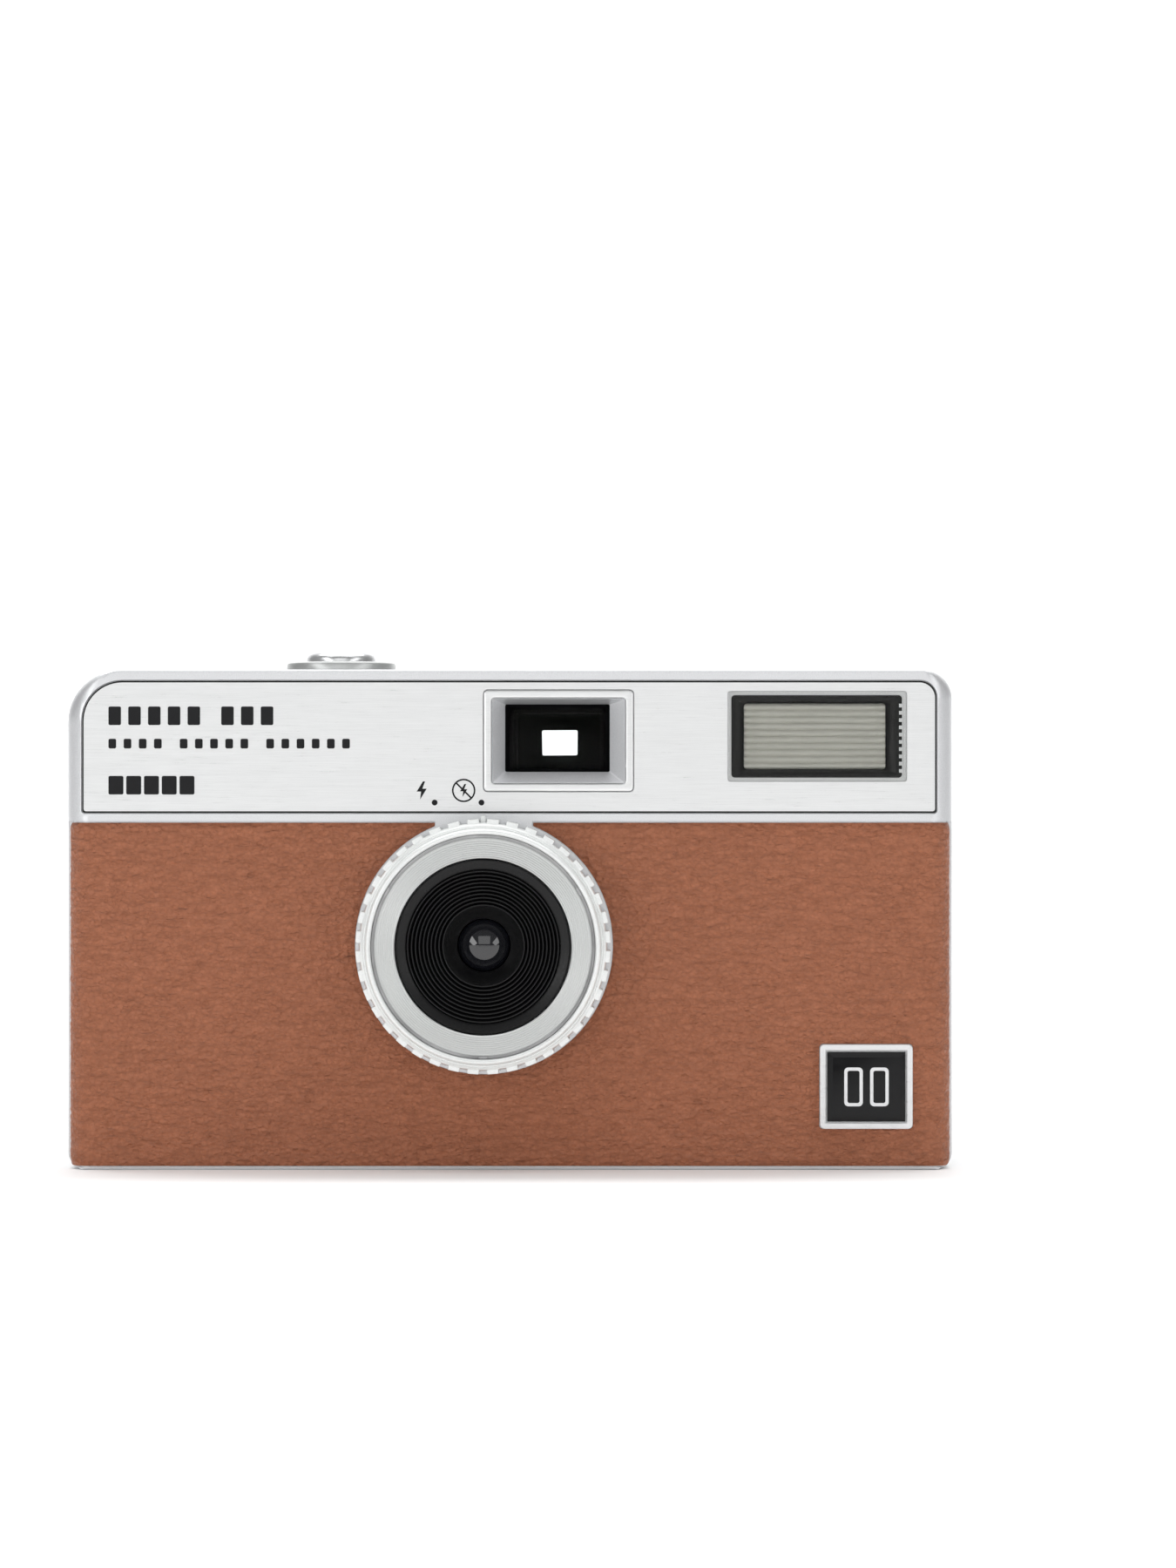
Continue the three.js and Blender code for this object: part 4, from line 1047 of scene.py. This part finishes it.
def ribbed_sheet():
    """Corrugated clear sheet: long ribs, shallow upright flutes near its ends."""
    x, z = mm_span(29.05, 46.55), mm_span(49.62, 57.78)
    columns, rows, ribs = 88, 160, 10

    def point(i, j, y):
        return x[0] + (x[1] - x[0]) * i / columns, y, z[0] + (z[1] - z[0]) * j / rows

    def outer(i, j):
        wave = abs(math.sin(math.pi * ribs * j / rows))
        end = abs(2 * i / columns - 1)
        flute = 0.3 * math.cos(9 * math.pi * end) * end ** 2
        return point(i, j, (-11.78 - 0.3 * wave + flute * 0.5) * MM)

    sheet = sheet_solid("flash_ribbed_sheet", columns, rows, outer, lambda i, j: point(i, j, -11.5 * MM))
    finish_piece(resmooth(sheet, 50), RIBBED, "body", "clear_plastic")


def flash_unit():
    flash_window()
    ribbed_sheet()
    mask = mm_block("flash_mask", (27.5, 48.6), (-12.34, -12.22), (48.6, 58.8), 0.4, "Y")
    combine(mask, [mm_block("hole", (29.0, 46.6), (-14, -10), (49.6, 57.8), 0.5, "Y")])
    finish_piece(mask, CONE_BLACK, "body", "black_plastic")
    teeth = [mm_block("tooth", (48.25, 48.75), (-12.36, -12.22), (low, low + 0.45))
             for low in (49.2 + 0.9 * i for i in range(10))]
    finish_piece(merge("flash_side_teeth", teeth), SILVER, "body", "silver_paint")
    shares = (0, 0.15, 0.35, 0.6, 0.8, 0.92, 1)
    rings = [mm_ring(drawn_in((29, 47.2), 0.6 * s), drawn_in((50.2, 57.3), 3.35 * s ** 2.2),
                     -11.4 + 6.3 * s, 0.25) for s in shares]
    rings += [mm_ring((28.6 + 0.3 * s, 47.6 - 0.3 * s), drawn_in((49.95, 57.55), 3 * s ** 2.2),
                      -11.4 + 6.8 * s, 0.25) for s in shares[::-1]]
    reflector = loft("flash_reflector_detail", rings, loop=True)
    finish_piece(reflector, REFLECTOR, "body", "chrome", "flash_reflector")
    tube_center = middle("flash_tube")
    tube = block("flash_tube_detail", mm_span(29.9, 46.3), about(tube_center.y, 1), about(tube_center.z, 1),
                 0.99 * MM, "X", 0.3 * MM)
    finish_piece(tube, GLASS, "body", "glass", "flash_tube")


# ---------------------------------------------------------------- rear, sides and bottom

def rear_door():
    door = rear_slab("rear_door_detail")
    low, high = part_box("rear_door")
    hinge = middle("door_hinge_pin")
    combine(door, [
        block("above", mm_span(-60, 60), mm_span(0, 30), (high.z, 90 * MM)),
        block("below", mm_span(-60, 60), mm_span(0, 30), (-9 * MM, low.z)),
        block("edge", (-70 * MM, hinge.x), mm_span(0, 30), mm_span(-10, 90)),
    ])
    combine(door, [round_bar("knuckle", hinge, 1.5 * MM, low.z, high.z, "Z", 48)], "UNION")
    combine(door, [
        mm_block("lug_cut", (-60, -51.7), (10, 20), (-5, 2.3)),
        round_bar("pin_cut", hinge, 0.85 * MM, -5 * MM, 80 * MM, "Z", 24),
        mm_block("inner_cut", (-49.2, 39.5), (10, 15.4), (3, 49.3), 0.8, "Y"),
        mm_block("leather_cut", (-50, 52.3), (16.8, 20), (2.5, 47.5), 1.2, "Y"),
        mm_block("latch_cut", (53.2, 60), (10, 20), (14.7, 29.3)),
    ])
    soften(door, 0.12)
    finish_piece(door, SILVER, "rear_door", "silver_paint", "rear_door")


def door_latch():
    low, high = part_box("door_latch")
    body = block("latch", (low.x, high.x - 0.3 * MM), mm_span(14.8, 17.2), (low.z, high.z), 0.3 * MM, "X",
                 0.12 * MM)
    hook = mm_block("hook", (53.7, 54.5), (12.5, 15), (24, 26.6), 0.15, "X", 0.1)
    parts = [body, hook]
    for i in range(7):
        z = low.z / MM + 1.6 + i * 1.05
        parts.append(block("rib", (high.x - 0.45 * MM, high.x - 0.02 * MM), mm_span(15, 17),
                           mm_span(z, z + 0.5), 0.1 * MM, "X", 0.08 * MM))
    finish_piece(merge("door_latch_detail", parts), CHROME_SATIN, "door_latch", "chrome", "door_latch")


def advance_wheel():
    """Thumbwheel with round-topped teeth and a dished upper face."""
    low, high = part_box("advance_wheel")
    center = (low + high) / 2
    center.y = SPOOL.y
    radius = 14 * MM
    teeth, fine = 60, 6
    outline = []
    for i in range(teeth * fine):
        angle = 2 * math.pi * i / (teeth * fine)
        wave = abs(math.sin(math.pi * i / fine))
        reach = radius - 0.55 * MM + 0.53 * MM * wave
        outline.append((center.x + reach * math.cos(angle), center.y + reach * math.sin(angle)))
    wheel = plate("advance_wheel_detail", outline, low.z, high.z, "Z", 0.35 * MM)
    hollow = mm_profile((0, 53.7), (10.4, 53.7), (11, 54.1), (11.2, 56), (0, 56))
    dish = lathe("dish", center, hollow, "Z", 96)
    combine(wheel, [dish])
    finish_piece(resmooth(wheel), BLACK, "advance", "black_plastic", "advance_wheel")


def rewind():
    center = KNOB.copy()
    profile = mm_profile((0, 0.3), (8.3, 0.3), (8.75, 0.4), (9, 0.75), (9, 3.1), (8.9, 3.2), (0, 3.2))
    knob = lathe("rewind_knob_detail", center, profile, "Z", 128)
    slot_cut = block("slot", (center.x - 7.6 * MM, center.x + 10 * MM), about(center.y, 1.9),
                     mm_span(-1, 2.1), 1 * MM)
    rings = []
    for r in (4.2, 5.4, 6.6):
        groove = mm_profile((r, -1), (r + 0.25, -1), (r + 0.25, 0.45), (r, 0.45))
        rings.append(lathe("groove", center, groove, "Z", 96))
    combine(knob, [slot_cut] + rings)
    finish_piece(resmooth(knob), BLACK, "rewind", "black_plastic", "rewind_knob")
    arm = block("arm", (center.x - 6.2 * MM, center.x + 6.3 * MM), about(center.y, 1.4),
                mm_span(0.5, 1.4), 1.3 * MM, "Z", 0.15 * MM)
    barrel_pin = Vector((center.x + 6.4 * MM, 0, 0.95 * MM))
    pivot = round_bar("pivot", barrel_pin, 0.6 * MM, *about(center.y, 1.45), "Y", 32)
    grip_center = Vector((center.x - 5.6 * MM, center.y, 0))
    grip_profile = mm_profile((0, 0.36), (1.1, 0.36), (1.4, 0.5), (1.5, 0.8), (1.5, 1.7), (0, 1.7))
    grip = lathe("grip", grip_center, grip_profile, "Z", 48)
    finish_piece(merge("rewind_crank_detail", [arm, pivot, grip]), CHROME_SATIN, "rewind_crank", "chrome",
                 "rewind_crank")
    release_profile = mm_profile((0, 0.42), (1.0, 0.36), (1.6, 0.32), (1.88, 0.42), (2, 0.7), (2, 3.4),
                                 (1, 3.4), (1, 6.6), (0, 6.6))
    release = lathe("rewind_release_detail", middle("rewind_release_button"), release_profile, "Z", 64)
    finish_piece(release, BLACK, "rewind_release", "black_plastic", "rewind_release_button")


def battery_door():
    low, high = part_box("battery_door")
    pin = middle("battery_door_pin")
    panel = block("panel", (53.6 * MM, high.x), (low.y, high.y), (pin.z, high.z), 0.25 * MM, "X", 0.15 * MM)
    bore, outside = mm_span(0.42, 0.7)
    sleeve = [(bore, low.y), (outside, low.y), (outside, high.y), (bore, high.y)]
    knuckle = lathe("knuckle", pin, sleeve, "Y", 32)
    cutters = [block("groove", (high.x - 0.25 * MM, high.x + MM), mm_span(-7, -1),
                     mm_span(38.5 + 1.1 * i, 39.1 + 1.1 * i), 0.2 * MM, "X") for i in range(5)]
    arrow = plate("arrow", mm_profile((-4, 33.2), (-5.3, 35.4), (-2.7, 35.4)), high.x - 0.2 * MM,
                  high.x + MM, "X")
    combine(panel, cutters + [arrow])
    soften(panel, 0.06)
    finish_piece(merge("battery_door_detail", [panel, knuckle]), SILVER, "battery_door", "silver_paint",
                 "battery_door")


def strap_and_lamp():
    low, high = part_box("strap_bar")
    bar = round_bar("strap_bar_detail", middle("strap_bar"), 0.5 * MM, low.z, high.z, "Z", 32)
    finish_piece(bar, CHROME, "body", "chrome", "strap_bar")
    center = middle("flash_ready_lamp")
    profile = mm_profile((0, 14.7), (1.2, 14.7), (1.2, 17.4), (1.0, 17.65), (0.6, 17.77), (0, 17.8))
    dome = lathe("flash_ready_lamp_detail", center, profile, "Y", 48)
    finish_piece(dome, LAMP, "body", "red_lamp", "flash_ready_lamp")


# ---------------------------------------------------------------- inside

def inside():
    """Inner pieces: some keep their own shape with rounded edges, the others only get a new coat."""
    refine("chassis", BLACK, "body", "black_plastic", 0.1)
    refine("takeup_spool", BLACK, "advance", "black_plastic", 0.15)
    refine("sprocket_shaft", BLACK, "sprocket", "black_plastic", 0.12)
    refine("pressure_plate", GLOSS_BLACK, "pressure_plate", "black_plastic", 0.3)
    refine("rewind_fork", BLACK, "rewind", "black_plastic", 0.15)
    coats = {
        STEEL: ("shutter_plate", "blade_pivot_pin", "release_lever", "shutter_button_spring",
                "battery_contact_plate", "battery_contact_spring", "battery_door_pin", "door_hinge_pin",
                "rewind_release_spring", "pressure_spring"),
        TUNNEL_BLACK: ("lens_cell", "shutter_blade"),
        FOAM: ("door_light_seal",),
        BOARD: ("flash_circuit_board",),
        GLOSS_BLACK: ("flash_capacitor",),
    }
    for material, nodes in coats.items():
        for node in nodes:
            for material_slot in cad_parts[node].material_slots:
                material_slot.material = material


# ---------------------------------------------------------------- studio

def studio():
    """A white floor that curves up into a backdrop."""
    near, bend, radius, top, half_width = -2.5, 1.2, 0.8, 3.0, 3
    steps = 10
    builder = bmesh.new()
    profile = [(near, 0), (bend, 0)]
    for i in range(1, steps + 1):
        angle = math.pi / (2 * steps) * i
        profile.append((bend + radius * math.sin(angle), radius * (1 - math.cos(angle))))
    profile.append((bend + radius, top))
    rows = [[builder.verts.new((x, y, z)) for x in (-half_width, half_width)] for y, z in profile]
    for first, second in zip(rows, rows[1:]):
        builder.faces.new((first[0], first[1], second[1], second[0]))
    floor = to_object("studio_floor", builder, 60)
    material, tree, shader = new_material("studio_white", (0.93, 0.93, 0.93), 0.7)
    tree.links.new(ramp(tree, noise_texture(tree, (3, 3, 3)), 0.92, 0.94), shader.inputs["Base Color"])
    floor.data.materials.append(material)


def area_light(name, place_at, target, size, power):
    data = bpy.data.lights.new(name, "AREA")
    data.shape = "RECTANGLE"
    data.size, data.size_y = size
    data.energy = power
    lamp = bpy.data.objects.new(name, data)
    lamp.location = place_at
    lamp.rotation_euler = (Vector(target) - Vector(place_at)).to_track_quat("-Z", "Z").to_euler()
    bpy.context.scene.collection.objects.link(lamp)


def lights():
    aim = (0, 0, 0.03)
    area_light("left_softbox", (-0.75, -0.75, 0.35), aim, (0.3, 0.9), 2.4)
    area_light("right_softbox", (0.8, -0.7, 0.35), aim, (0.3, 0.9), 1.7)
    area_light("overhead", (0, -0.05, 1.1), aim, (1.4, 1.2), 9)
    area_light("front_fill", (0, -1.6, 0.5), aim, (1.2, 0.8), 3.0)
    area_light("backdrop_light", (0, 0.5, 1.6), (0, 1.9, 0.4), (2.4, 0.8), 45)
    world = bpy.data.worlds.new("studio_world")
    world.use_nodes = True
    world.node_tree.nodes["Background"].inputs["Color"].default_value = (1, 1, 1, 1)
    world.node_tree.nodes["Background"].inputs["Strength"].default_value = 0.22
    bpy.context.scene.world = world
    bpy.context.scene.view_settings.view_transform = "Standard"


def camera():
    """Level view from the front; the frame's height takes in 194 mm at the camera's face."""
    data = bpy.data.cameras.new("camera")
    data.lens = 120
    data.sensor_fit = "VERTICAL"
    data.sensor_height = 36
    view_height = 0.1942
    distance = view_height * data.lens / data.sensor_height
    eye = bpy.data.objects.new("camera", data)
    eye.location = (0.0097, FRONT - distance, 0.0478)
    eye.rotation_euler = (math.radians(90), 0, 0)
    data.clip_start = 0.01
    bpy.context.scene.collection.objects.link(eye)
    bpy.context.scene.camera = eye


camera()
lights()
studio()
front_shell()
rear_top_cover()
top_fascia()
front_leather()
rear_leather()
badge()
printed_marks()
base_screws()
lens()
shutter_button()
button_collar()
counter()
viewfinder()
eyepiece()
flash_unit()
rear_door()
door_latch()
advance_wheel()
rewind()
battery_door()
strap_and_lamp()
inside()
